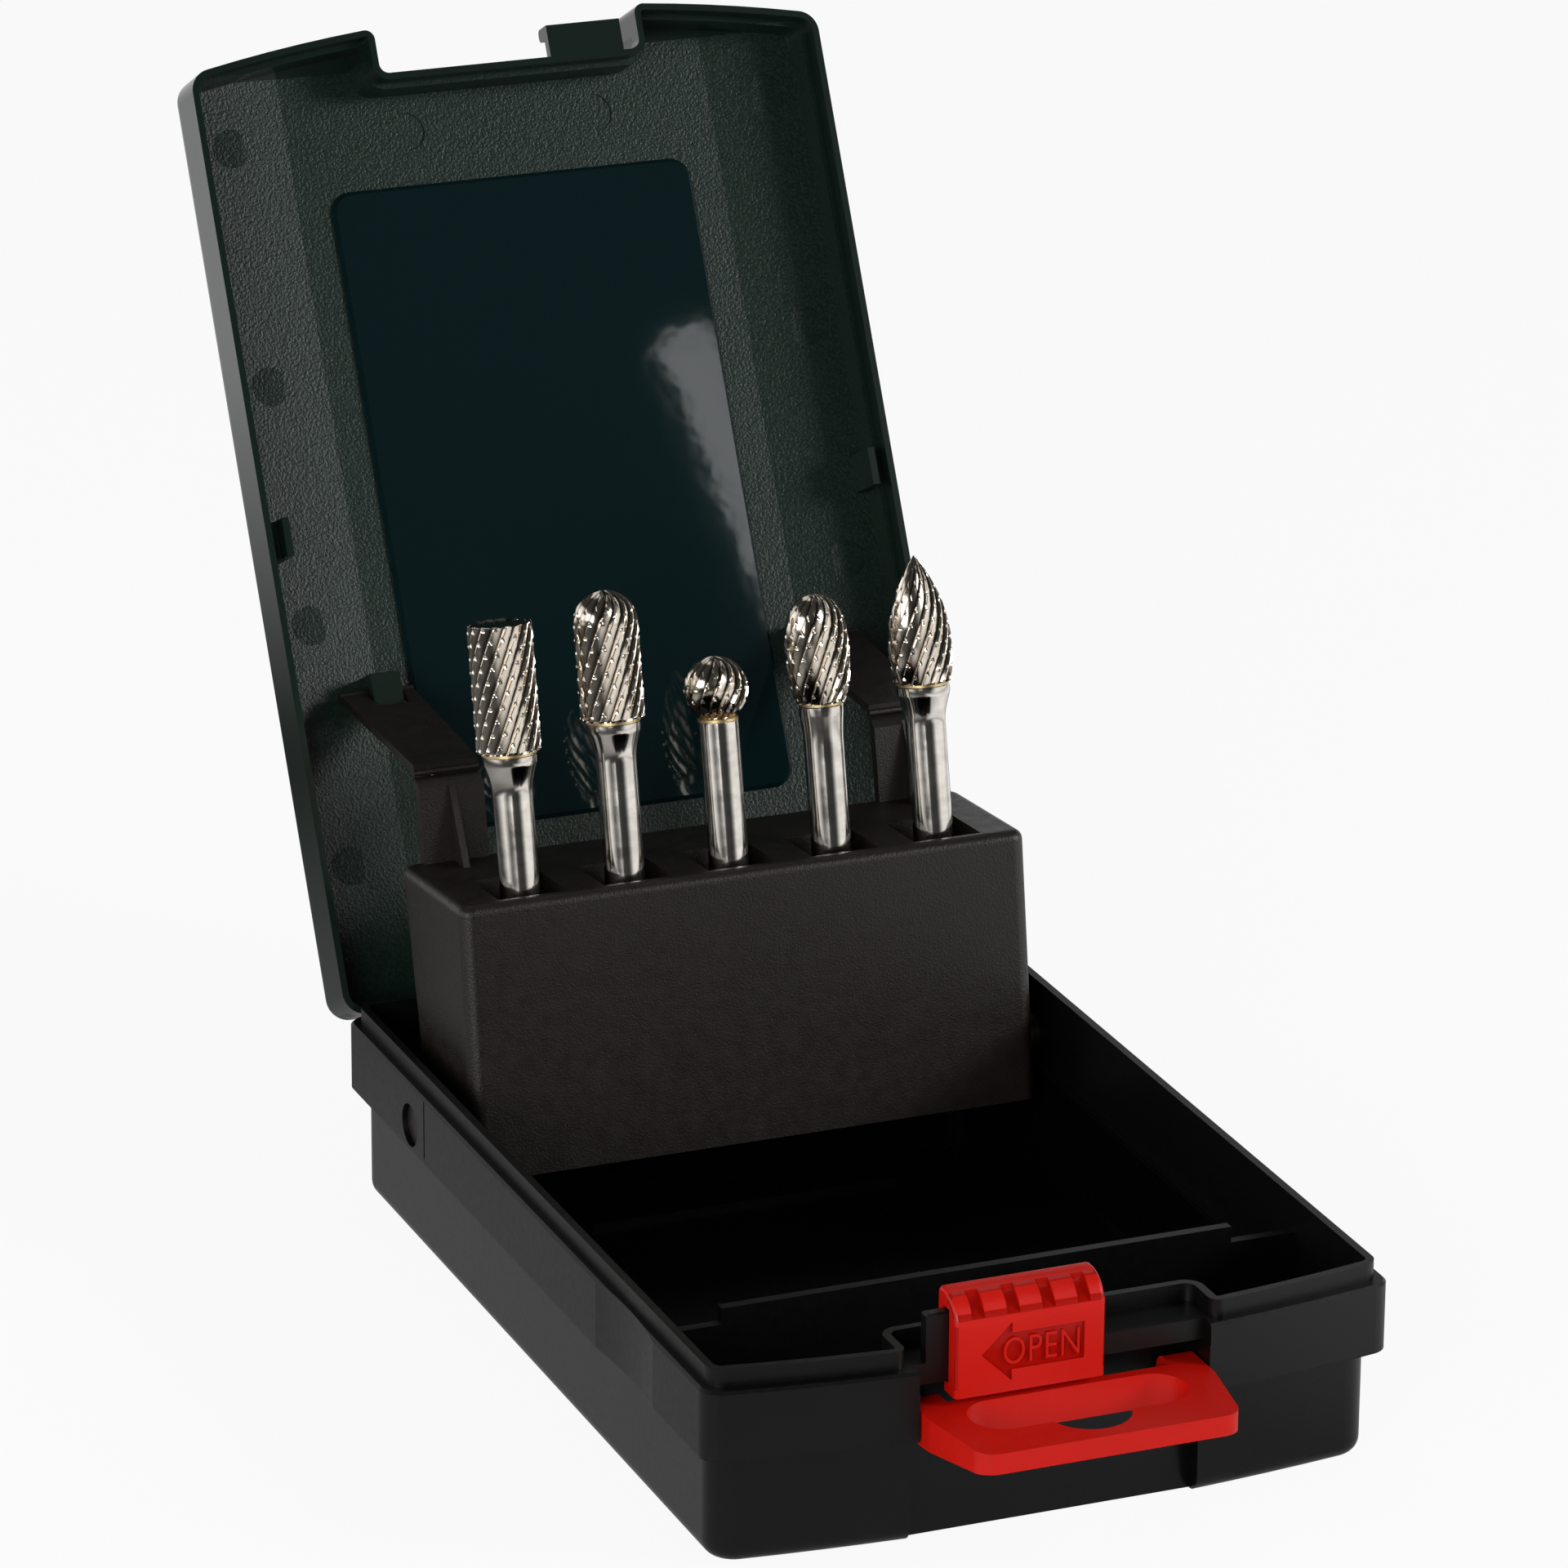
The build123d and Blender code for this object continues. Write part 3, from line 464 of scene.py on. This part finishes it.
class BURRCASE_OT_lid(Operator):
    """Dark green lid: grained inside, smooth outside and on the rim, with a glossy raised panel; the
    grain's peaks carry a painted sparkle.
    """

    bl_idname = "burrcase.lid"
    bl_label = "Lid"

    def execute(self, context):
        colours = context.scene.burrcase
        finish = Finish("lid_plastic_finish")
        lean = np.radians(LID_LEAN)
        hinge = Vector(LID_HINGE) * MM
        start = -(Matrix.Rotation(lean, 3, "X") @ hinge)
        place = finish.turned((lean, 0.0, 0.0), start)
        x, along, depth = finish.split(place)
        panel = finish.product(
            finish.inside(x, -0.0295, 0.0295, 0.0002),
            finish.inside(along, 0.0259, 0.1252, 0.0002),
            finish.inside(depth, -0.00915, -0.0070, 0.0001),
        )
        inner = finish.product(
            finish.inside(x, -0.0496, 0.0496, 0.0002),
            finish.inside(depth, -0.0098, -0.0030, 0.0002),
            finish.inside(along, 0.0, 0.1435, 0.0002),
        )
        grained = finish.math("MULTIPLY", inner, finish.math("SUBTRACT", 1.0, panel))
        ripple = finish.bump(finish.noise(80.0, 3.0), 0.000014, panel)
        grain = finish.noise(2300.0, 2.0, roughness=0.6)
        body = shades(finish, colours.lid_colour, 0.12, 60.0)
        # Painted sparkle: the grain's peaks inside are coloured lighter, standing in for highlights on the
        # grain.
        painted_grain_sparkle = finish.math("MULTIPLY", grained, finish.spread(grain, 0.45, 0.62, 0.0, 1.0))
        body = finish.mix(painted_grain_sparkle, body, rgba([1.9 * c for c in colours.lid_colour]))
        finish.set(
            Base_Color=finish.mix(panel, body, rgba(colours.panel_colour)),
            Roughness=finish.math(
                "ADD",
                finish.spread(grained, 0.0, 1.0, 0.22, 0.34),
                finish.math("MULTIPLY", panel, -0.19),
            ),
            Normal=finish.bump(grain, colours.grain, grained, ripple),
            Specular_IOR_Level=0.35,
        )
        dress("lid", finish.material)
        return {"FINISHED"}


class BURRCASE_OT_block(Operator):
    """Satin black burr block and its two straps, with a fine grain."""

    bl_idname = "burrcase.block"
    bl_label = "Burr block"

    def execute(self, context):
        colours = context.scene.burrcase
        finish = Finish("block_plastic_finish")
        grain = finish.noise(3400.0, 2.0, roughness=0.6)
        finish.set(
            Base_Color=shades(finish, colours.block_colour, 0.15, 70.0),
            Roughness=finish.spread(finish.noise(500.0, 3.0), 0.3, 0.7, 0.38, 0.48),
            Normal=finish.bump(grain, colours.grain, 0.6),
        )
        for node in ("burr_block", "strap_left", "strap_right"):
            dress(node, finish.material)
        return {"FINISHED"}


class BURRCASE_OT_latch(Operator):
    """Red latch and hanger, with painted shade in the grips' scoops, and the raised word in the latch's
    arrow.
    """

    bl_idname = "burrcase.latch"
    bl_label = "Latch and hanger"

    def execute(self, context):
        colours = context.scene.burrcase
        finish = Finish("red_plastic_finish")
        grain = finish.noise(4200.0, 3.0, roughness=0.6)
        _, y, z = finish.split(finish.place)
        recess = finish.product(finish.inside(y, *RECESS_Y, 0.00005), finish.inside(z, *RECESS_Z, 0.0001))
        from_axis_y = finish.math("POWER", finish.math("SUBTRACT", y, SCOOP_AXIS_Y), 2.0)
        from_axis_z = finish.math("POWER", finish.math("SUBTRACT", z, SCOOP_AXIS_Z), 2.0)
        axis_distance = finish.math("SQRT", finish.math("ADD", from_axis_y, from_axis_z))
        scoop = finish.inside(axis_distance, *SCOOP_RADII, 0.00005)
        smooth = finish.math("MAXIMUM", recess, scoop)
        # In the grips' scoops the darker red is painted shade; the arrow's recess gets the same darker red,
        # with smoother plastic.
        red = shades(finish, colours.red_colour, 0.06, 90.0)
        finish.set(
            Base_Color=finish.mix(smooth, red, rgba([0.66 * c for c in colours.red_colour])),
            Specular_IOR_Level=0.3,
            Roughness=finish.math(
                "SUBTRACT",
                finish.spread(finish.noise(500.0, 3.0), 0.3, 0.7, 0.34, 0.44),
                finish.math("MULTIPLY", smooth, 0.24),
            ),
            Normal=finish.bump(grain, colours.grain, finish.spread(smooth, 0.0, 1.0, 0.15, 0.02)),
        )
        for node in ("latch_slider", "hanger"):
            dress(node, finish.material)
        self.raise_word(context, finish.material)
        return {"FINISHED"}

    def raise_word(self, context, material):
        """The raised word, fitted to its width and height on the floor of the arrow's recess."""
        curve = bpy.data.curves.new("open_word", "FONT")
        curve.body = "OPEN"
        curve.size = 5.0 * MM
        curve.extrude = 0.18 * MM
        curve.offset = -0.03 * MM
        curve.space_character = 1.08
        curve.resolution_u = 6
        words = bpy.data.objects.new("open_word_curve", curve)
        context.scene.collection.objects.link(words)
        context.view_layer.update()
        mesh = bpy.data.meshes.new_from_object(words)
        bpy.data.objects.remove(words)
        count = len(mesh.vertices)
        flat = np.empty(count * 3)
        mesh.vertices.foreach_get("co", flat)
        flat = flat.reshape(count, 3)
        low, high = flat.min(axis=0), flat.max(axis=0)
        wide = (flat[:, 0] - low[0]) / (high[0] - low[0])
        tall = (flat[:, 1] - low[1]) / (high[1] - low[1]) - 0.5
        points = np.stack(
            (
                MM * (WORD_LEFT + WORD_WIDTH * wide),
                MM * WORD_FACE - (flat[:, 2] - low[2]),
                MM * (WORD_MIDDLE + WORD_HEIGHT * tall),
            ),
            axis=1,
        )
        mesh.vertices.foreach_set("co", points.ravel())
        mesh.name = "open_word"
        mesh.materials.clear()
        mesh.materials.append(material)
        mesh.update()
        piece = bpy.data.objects.new("open_word", mesh)
        context.scene.collection.objects.link(piece)
        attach(piece, "latch")


def steel_finish(colours):
    """Ground steel with fine lines round the shank and faint darker patches."""
    finish = Finish("shank_steel_finish")
    along = finish.turned((np.radians(BLOCK_TILT), 0.0, 0.0))
    lines = finish.noise(1.0, 2.0, finish.turned(scale=(60.0, 60.0, 16000.0), place=along))
    patches = finish.noise(1.0, 3.0, finish.turned(scale=(300.0, 300.0, 500.0), place=along))
    dark = rgba([0.80 * c for c in colours])
    finish.set(
        Base_Color=finish.mix(finish.spread(patches, 0.35, 0.65, 0.0, 1.0), dark, rgba(colours)),
        Metallic=1.0,
        Roughness=finish.spread(patches, 0.3, 0.7, 0.10, 0.15),
        Normal=finish.bump(lines, 0.0000005, 0.3),
    )
    return finish.material


class BURRCASE_OT_shanks(Operator):
    """Five turned shanks with a flared collar, and the braze ring under each head."""

    bl_idname = "burrcase.shanks"
    bl_label = "Shanks"

    around: IntProperty(name="Around", description="Points round a shank", default=96)

    def execute(self, context):
        settings = context.scene.burrcase_burrs
        steel = steel_finish(settings.steel_colour)
        finish = Finish("braze_finish")
        finish.set(
            Base_Color=shades(finish, settings.braze_colour, 0.25, 700.0),
            Metallic=1.0,
            Roughness=finish.spread(finish.noise(2500.0, 3.0), 0.3, 0.7, 0.28, 0.45),
        )
        for burr in BURRS:
            self.turn_shank(burr, steel)
            dress(burr.name + "_braze", finish.material)
        return {"FINISHED"}

    def turn_shank(self, burr, steel):
        """Turned shank: a bevelled foot, a straight stem and a flare that eases into a short band.

        The flare's radius grows with e^2 (1.6 - 0.6 e), where e runs from 0 to 1 along it.
        """
        end = burr.foot - BRAZE_THICK
        start = burr.foot - SHANK_LENGTH
        if burr.neck:
            ease = np.linspace(0.0, 1.0, 14)
            flare = SHANK_RADIUS + (burr.neck - SHANK_RADIUS) * (ease**2 * (1.6 - 0.6 * ease))
            rise = end - FLARE_START + FLARE_RISE * ease
            r = np.concatenate(([SHANK_RADIUS], flare, [burr.neck, burr.neck - NECK_BEVEL]))
            s = np.concatenate(([end - FLARE_START - FLARE_LEAD], rise, [end - NECK_BEVEL, end]))
        else:
            r = np.array((SHANK_RADIUS, SHANK_RADIUS, SHANK_RADIUS - PLAIN_BEVEL))
            s = np.array((end - PLAIN_BAND, end - PLAIN_BEVEL, end))
        r = np.concatenate(([SHANK_RADIUS - SHANK_BEVEL, SHANK_RADIUS], r))
        s = np.concatenate(([start, start + SHANK_BEVEL], s))
        angle = np.linspace(0.0, 2 * np.pi, self.around, endpoint=False)
        round_about = np.ones_like(angle)
        rings = on_burr(burr.x, r[:, None] * round_about, angle[None, :], s[:, None] * round_about)
        poles = on_burr(burr.x, np.zeros(2), np.zeros(2), np.array((start, end)))
        points = np.vstack((poles[:1], rings.reshape(-1, 3), poles[1:]))
        faces = turned_faces(len(r), self.around)
        node = [burr.name + "_shank"]
        put_mesh(burr.name + "_stem", points, faces, burr.name, node, steel, crease=25.0)


class BURRCASE_OT_heads(Operator):
    """Five double-cut heads: right-hand flutes crossed by a finer left-hand cut, with painted shade in the
    flutes' roots and painted light on the ridges.
    """

    bl_idname = "burrcase.heads"
    bl_label = "Heads"

    per_tooth: IntProperty(name="Points per tooth", description="Columns across one flute", default=14)
    rows: IntProperty(name="Rows", description="Rings along a head", default=250)

    def execute(self, context):
        settings = context.scene.burrcase_burrs
        finish = Finish("carbide_finish")
        ridge = finish.tree.nodes.new("ShaderNodeAttribute")
        ridge.attribute_name = "ridge"
        stain = finish.noise(450.0, 4.0, roughness=0.6)
        # Painted light and shade: the colour darkens to a painted shade toward the flutes' roots and comes
        # up to the full carbide colour at the ridges as painted highlight; the stain noise varies it.
        dark = rgba([0.12 * c for c in settings.carbide_colour])
        share = finish.math("MULTIPLY", ridge.outputs["Fac"], finish.spread(stain, 0.3, 0.7, 0.75, 1.0))
        bright = finish.spread(share, 0.0, 0.5, 0.0, 1.0)
        finish.set(
            Base_Color=finish.mix(bright, dark, rgba(settings.carbide_colour)),
            Metallic=1.0,
            Roughness=finish.spread(stain, 0.3, 0.7, 0.10, 0.18),
            Normal=finish.bump(finish.noise(3000.0, 2.0), 0.000006, 0.6),
        )
        for burr in BURRS:
            self.cut_head(settings, burr, finish.material)
        return {"FINISHED"}

    def cut_head(self, settings, burr, material):
        """Head: its turned profile, pushed in along its normal by the deeper of flute and notch.

        After a narrow flat ridge a flute's depth rises evenly with its phase down to the root, and
        drops back over the last fifth. A notch is a narrow V about the middle of its own phase. The
        cut grows shallow toward a tip, and on flat faces it is only a trace. The columns of the grid
        turn with the flutes, so that every ridge is one straight line of edges.
        """
        r, s = even_steps(*burr.profile(burr.length, settings.radius), self.rows + 2)
        r, s = r[1:-1], s[1:-1]
        around = settings.teeth * self.per_tooth
        tangent_r = np.gradient(r)
        tangent_s = np.gradient(s)
        size = np.hypot(tangent_r, tangent_s)
        normal_r = tangent_s / size
        normal_s = -tangent_r / size
        column = np.arange(around)
        phase = (column % self.per_tooth) / self.per_tooth
        falling = (phase - RIDGE_END) / (ROOT_PHASE - RIDGE_END)
        flute = np.where(phase < ROOT_PHASE, falling, (1 - phase) / (1 - ROOT_PHASE))
        flute = np.where(phase < RIDGE_END, 0.0, flute)
        angle = 2 * np.pi * column[None, :] / around + np.radians(settings.twist) * s[:, None]
        cross = settings.notches * (angle + np.radians(settings.cross_twist) * s[:, None]) / (2 * np.pi)
        notch = np.clip(1 - np.abs(cross % 1.0 - 0.5) / NOTCH_HALF, 0.0, 1.0)
        side = np.clip(r / settings.radius, 0.0, 1.0) ** SIDE_POWER
        flat = (s < 0.02) | (normal_r < 0.05)
        full = settings.tooth_depth * side * np.where(flat, FACE_CUT, 1.0)
        cut = np.maximum(flute[None, :], NOTCH_DEPTH * notch)
        depth = full[:, None] * cut
        radial = np.maximum(r[:, None] - depth * normal_r[:, None], 0.02)
        height = burr.foot + s[:, None] - depth * normal_s[:, None]
        height = np.maximum(height, burr.foot)
        rings = on_burr(burr.x, radial, angle, height)
        poles = on_burr(burr.x, np.zeros(2), np.zeros(2), burr.foot + np.array((s[0], s[-1])))
        points = np.vstack((poles[:1], rings.reshape(-1, 3), poles[1:]))
        faces = turned_faces(self.rows, around)
        node = [burr.name + "_head"]
        piece = put_mesh(
            burr.name + "_cutter", points, faces, burr.name, node, material, crease=20.0
        )
        # How near each point lies to a ridge, from 1 - cut; the carbide finish turns it into painted shade
        # in the roots and painted light on the ridges.
        attribute = piece.data.attributes.new("ridge", "FLOAT", "POINT")
        values = np.concatenate(([0.5], (1.0 - cut).ravel(), [0.5]))
        attribute.data.foreach_set("value", values.astype(np.float32))


# Stage


class BURRCASE_OT_stage(Operator):
    """Pale floor, white backdrop, soft lamps and the camera."""

    bl_idname = "burrcase.stage"
    bl_label = "Stage"

    def execute(self, context):
        settings = context.scene.burrcase_stage
        scene = context.scene
        scene.view_settings.view_transform = "Standard"
        self.lay_floor(settings)
        self.light_world(scene)
        self.hang_lamps(scene)
        data = bpy.data.cameras.new("photo_camera")
        data.lens = settings.lens
        data.sensor_width = 36.0
        data.clip_end = 50.0
        camera = bpy.data.objects.new("photo_camera", data)
        right = Vector(CAMERA_RIGHT)
        up = Vector(CAMERA_UP)
        back = right.cross(up)
        turn = Matrix((right, up, back)).transposed().to_4x4()
        camera.matrix_world = Matrix.Translation(settings.eye) @ turn
        scene.collection.objects.link(camera)
        scene.camera = camera
        return {"FINISHED"}

    def lay_floor(self, settings):
        """Wide flat floor. For the camera it glows in part, so it reads white and keeps the shadow.

        Reflections see a pattern of glow instead, painted light and shade on the floor: bright away
        from the case but not in front of it, a painted shadow close beneath the case, and a painted
        pool of light on a patch to its right.
        """
        mesh = bpy.data.meshes.new("floor")
        edge = FLOOR_EDGE
        corners = [(-edge, -edge, 0.0), (edge, -edge, 0.0), (edge, edge, 0.0), (-edge, edge, 0.0)]
        mesh.from_pydata(corners, [], [(0, 1, 2, 3)])
        floor = bpy.data.objects.new("floor", mesh)
        bpy.context.scene.collection.objects.link(floor)
        finish = Finish("floor_finish")
        finish.set(
            Base_Color=shades(finish, (settings.floor,) * 3, 0.01, 3.0),
            Roughness=0.9,
            Specular_IOR_Level=0.1,
        )
        nodes, links = finish.tree.nodes, finish.tree.links
        glow = nodes.new("ShaderNodeEmission")
        seen = nodes.new("ShaderNodeLightPath")
        length = nodes.new("ShaderNodeVectorMath")
        length.operation = "LENGTH"
        links.new(finish.place, length.inputs[0])
        reach = length.outputs["Value"]
        x, y, _ = finish.split(finish.place)
        front = finish.math("ADD", finish.math("MULTIPLY", x, -0.37), finish.math("MULTIPLY", y, -0.93))
        right = finish.math("ADD", finish.math("MULTIPLY", x, 0.93), finish.math("MULTIPLY", y, -0.37))
        heading = finish.math("DIVIDE", front, reach)
        far = finish.product(
            finish.spread(reach, 0.28, 0.50, 0.0, 1.0), finish.spread(heading, 0.55, 0.88, 1.0, 0.0)
        )
        # Painted shadow: reflections see the floor dim close beneath the case.
        beneath = finish.spread(reach, 0.12, 0.26, 0.36, 0.05)
        # Painted light: a pool of glow on the floor at the case's right, seen in reflections.
        painted_light_patch = finish.product(
            finish.spread(right, 0.02, 0.16, 0.0, 1.0), finish.spread(reach, 0.28, 0.50, 1.0, 0.05)
        )
        near_painted_shadow_and_light = finish.math("MAXIMUM", beneath, painted_light_patch)
        camera_ray = seen.outputs["Is Camera Ray"]
        mirrored = finish.math(
            "MAXIMUM", seen.outputs["Is Glossy Ray"], seen.outputs["Is Transmission Ray"]
        )
        strength = finish.math("MAXIMUM", camera_ray, finish.math("MAXIMUM", far, near_painted_shadow_and_light))
        links.new(strength, glow.inputs["Strength"])
        glowing = finish.math("MAXIMUM", mirrored, finish.math("MULTIPLY", camera_ray, FLOOR_GLOW))
        blend = nodes.new("ShaderNodeMixShader")
        links.new(glowing, blend.inputs[0])
        links.new(finish.shader.outputs[0], blend.inputs[1])
        links.new(glow.outputs[0], blend.inputs[2])
        links.new(blend.outputs[0], nodes["Material Output"].inputs["Surface"])
        mesh.materials.append(finish.material)

    def fade(self, tree, value, start, end):
        """1 below the start, 0 past the end, with a smooth fall between them."""
        node = tree.nodes.new("ShaderNodeMapRange")
        tree.links.new(value, node.inputs["Value"])
        node.inputs["From Min"].default_value = start
        node.inputs["From Max"].default_value = end
        node.inputs["To Min"].default_value = 1.0
        node.inputs["To Max"].default_value = 0.0
        node.interpolation_type = "SMOOTHSTEP"
        return node.outputs[0]

    def light_world(self, scene):
        """White backdrop for the camera. Reflections see it white low down on the far side and beside,
        and dark toward the camera and overhead.
        """
        world = bpy.data.worlds.new("studio")
        world.use_nodes = True
        tree = world.node_tree
        nodes, links = tree.nodes, tree.links
        nodes.clear()
        output = nodes.new("ShaderNodeOutputWorld")
        place = nodes.new("ShaderNodeTexCoord")
        path = nodes.new("ShaderNodeLightPath")
        facing = nodes.new("ShaderNodeVectorMath")
        facing.operation = "DOT_PRODUCT"
        links.new(place.outputs["Generated"], facing.inputs[0])
        facing.inputs[1].default_value = TOWARD_CAMERA
        beside = self.fade(tree, facing.outputs["Value"], 0.45, 0.85)
        parts = nodes.new("ShaderNodeSeparateXYZ")
        links.new(place.outputs["Generated"], parts.inputs[0])
        low = self.fade(tree, parts.outputs["Z"], 0.10, 0.50)
        both = nodes.new("ShaderNodeMath")
        both.operation = "MULTIPLY"
        links.new(beside, both.inputs[0])
        links.new(low, both.inputs[1])
        level = nodes.new("ShaderNodeMath")
        level.operation = "MULTIPLY_ADD"
        links.new(both.outputs[0], level.inputs[0])
        level.inputs[1].default_value = MIRRORED_RANGE
        level.inputs[2].default_value = MIRRORED_LOW
        ambient, mirrored, white = (nodes.new("ShaderNodeBackground") for _ in range(3))
        for background in (ambient, mirrored, white):
            background.inputs["Color"].default_value = (1.0, 1.0, 1.0, 1.0)
        ambient.inputs["Strength"].default_value = AMBIENT
        links.new(level.outputs[0], mirrored.inputs["Strength"])
        glossy = nodes.new("ShaderNodeMath")
        glossy.operation = "MAXIMUM"
        links.new(path.outputs["Is Glossy Ray"], glossy.inputs[0])
        links.new(path.outputs["Is Transmission Ray"], glossy.inputs[1])
        first = nodes.new("ShaderNodeMixShader")
        links.new(glossy.outputs[0], first.inputs[0])
        links.new(ambient.outputs[0], first.inputs[1])
        links.new(mirrored.outputs[0], first.inputs[2])
        second = nodes.new("ShaderNodeMixShader")
        links.new(path.outputs["Is Camera Ray"], second.inputs[0])
        links.new(first.outputs[0], second.inputs[1])
        links.new(white.outputs[0], second.inputs[2])
        links.new(second.outputs[0], output.inputs["Surface"])
        scene.world = world

    def hang_lamps(self, scene):
        """Soft rectangular lamps (name, place, width, height, power), turned to the case's middle."""
        lamps = (
            ("left_softbox", (-1.20, 0.10, 0.50), 1.3, 0.8, 3.0),
            ("overhead_softbox", (0.20, 0.60, 1.30), 0.9, 0.6, 1.2),
            ("front_softbox", (-1.05, -1.10, 0.50), 1.0, 0.7, 12.0),
            ("right_strip", (0.526, -0.942, 0.792), 0.018, 0.17, 0.040),
            ("right_softbox", (1.20, -0.82, 0.72), 0.6, 0.5, 12.0),
        )
        for name, place, width, height, power in lamps:
            data = bpy.data.lights.new(name, "AREA")
            data.shape = "RECTANGLE"
            data.size = width
            data.size_y = height
            data.energy = power
            lamp = bpy.data.objects.new(name, data)
            lamp.location = place
            aim = Vector(LAMP_AIM) - Vector(place)
            lamp.rotation_euler = aim.to_track_quat("-Z", "Y").to_euler()
            scene.collection.objects.link(lamp)


OPERATORS = (
    BURRCASE_OT_tray,
    BURRCASE_OT_lid,
    BURRCASE_OT_block,
    BURRCASE_OT_latch,
    BURRCASE_OT_shanks,
    BURRCASE_OT_heads,
    BURRCASE_OT_stage,
)


class BURRCASE_PT_sidebar(Panel):
    """Lists the case's settings and one button for each piece."""

    bl_label = "Burr case"
    bl_idname = "BURRCASE_PT_sidebar"
    bl_space_type = "VIEW_3D"
    bl_region_type = "UI"
    bl_category = "Burr case"

    def draw(self, context):
        for group in (context.scene.burrcase, context.scene.burrcase_burrs, context.scene.burrcase_stage):
            box = self.layout.box()
            for name in group.__annotations__:
                box.prop(group, name)
        for operator in OPERATORS:
            self.layout.operator(operator.bl_idname)


CLASSES = (CaseSettings, BurrSettings, StageSettings, *OPERATORS, BURRCASE_PT_sidebar)


def register():
    """Register the classes and hang the settings on the scene."""
    for cls in CLASSES:
        bpy.utils.register_class(cls)
    bpy.types.Scene.burrcase = PointerProperty(type=CaseSettings)
    bpy.types.Scene.burrcase_burrs = PointerProperty(type=BurrSettings)
    bpy.types.Scene.burrcase_stage = PointerProperty(type=StageSettings)


def unregister():
    """Take the settings off the scene and unregister the classes."""
    del bpy.types.Scene.burrcase_stage
    del bpy.types.Scene.burrcase_burrs
    del bpy.types.Scene.burrcase
    for cls in reversed(CLASSES):
        bpy.utils.unregister_class(cls)


def main():
    register()
    for operator in OPERATORS:
        category, name = operator.bl_idname.split(".")
        getattr(getattr(bpy.ops, category), name)()


if __name__ == "__main__":
    main()
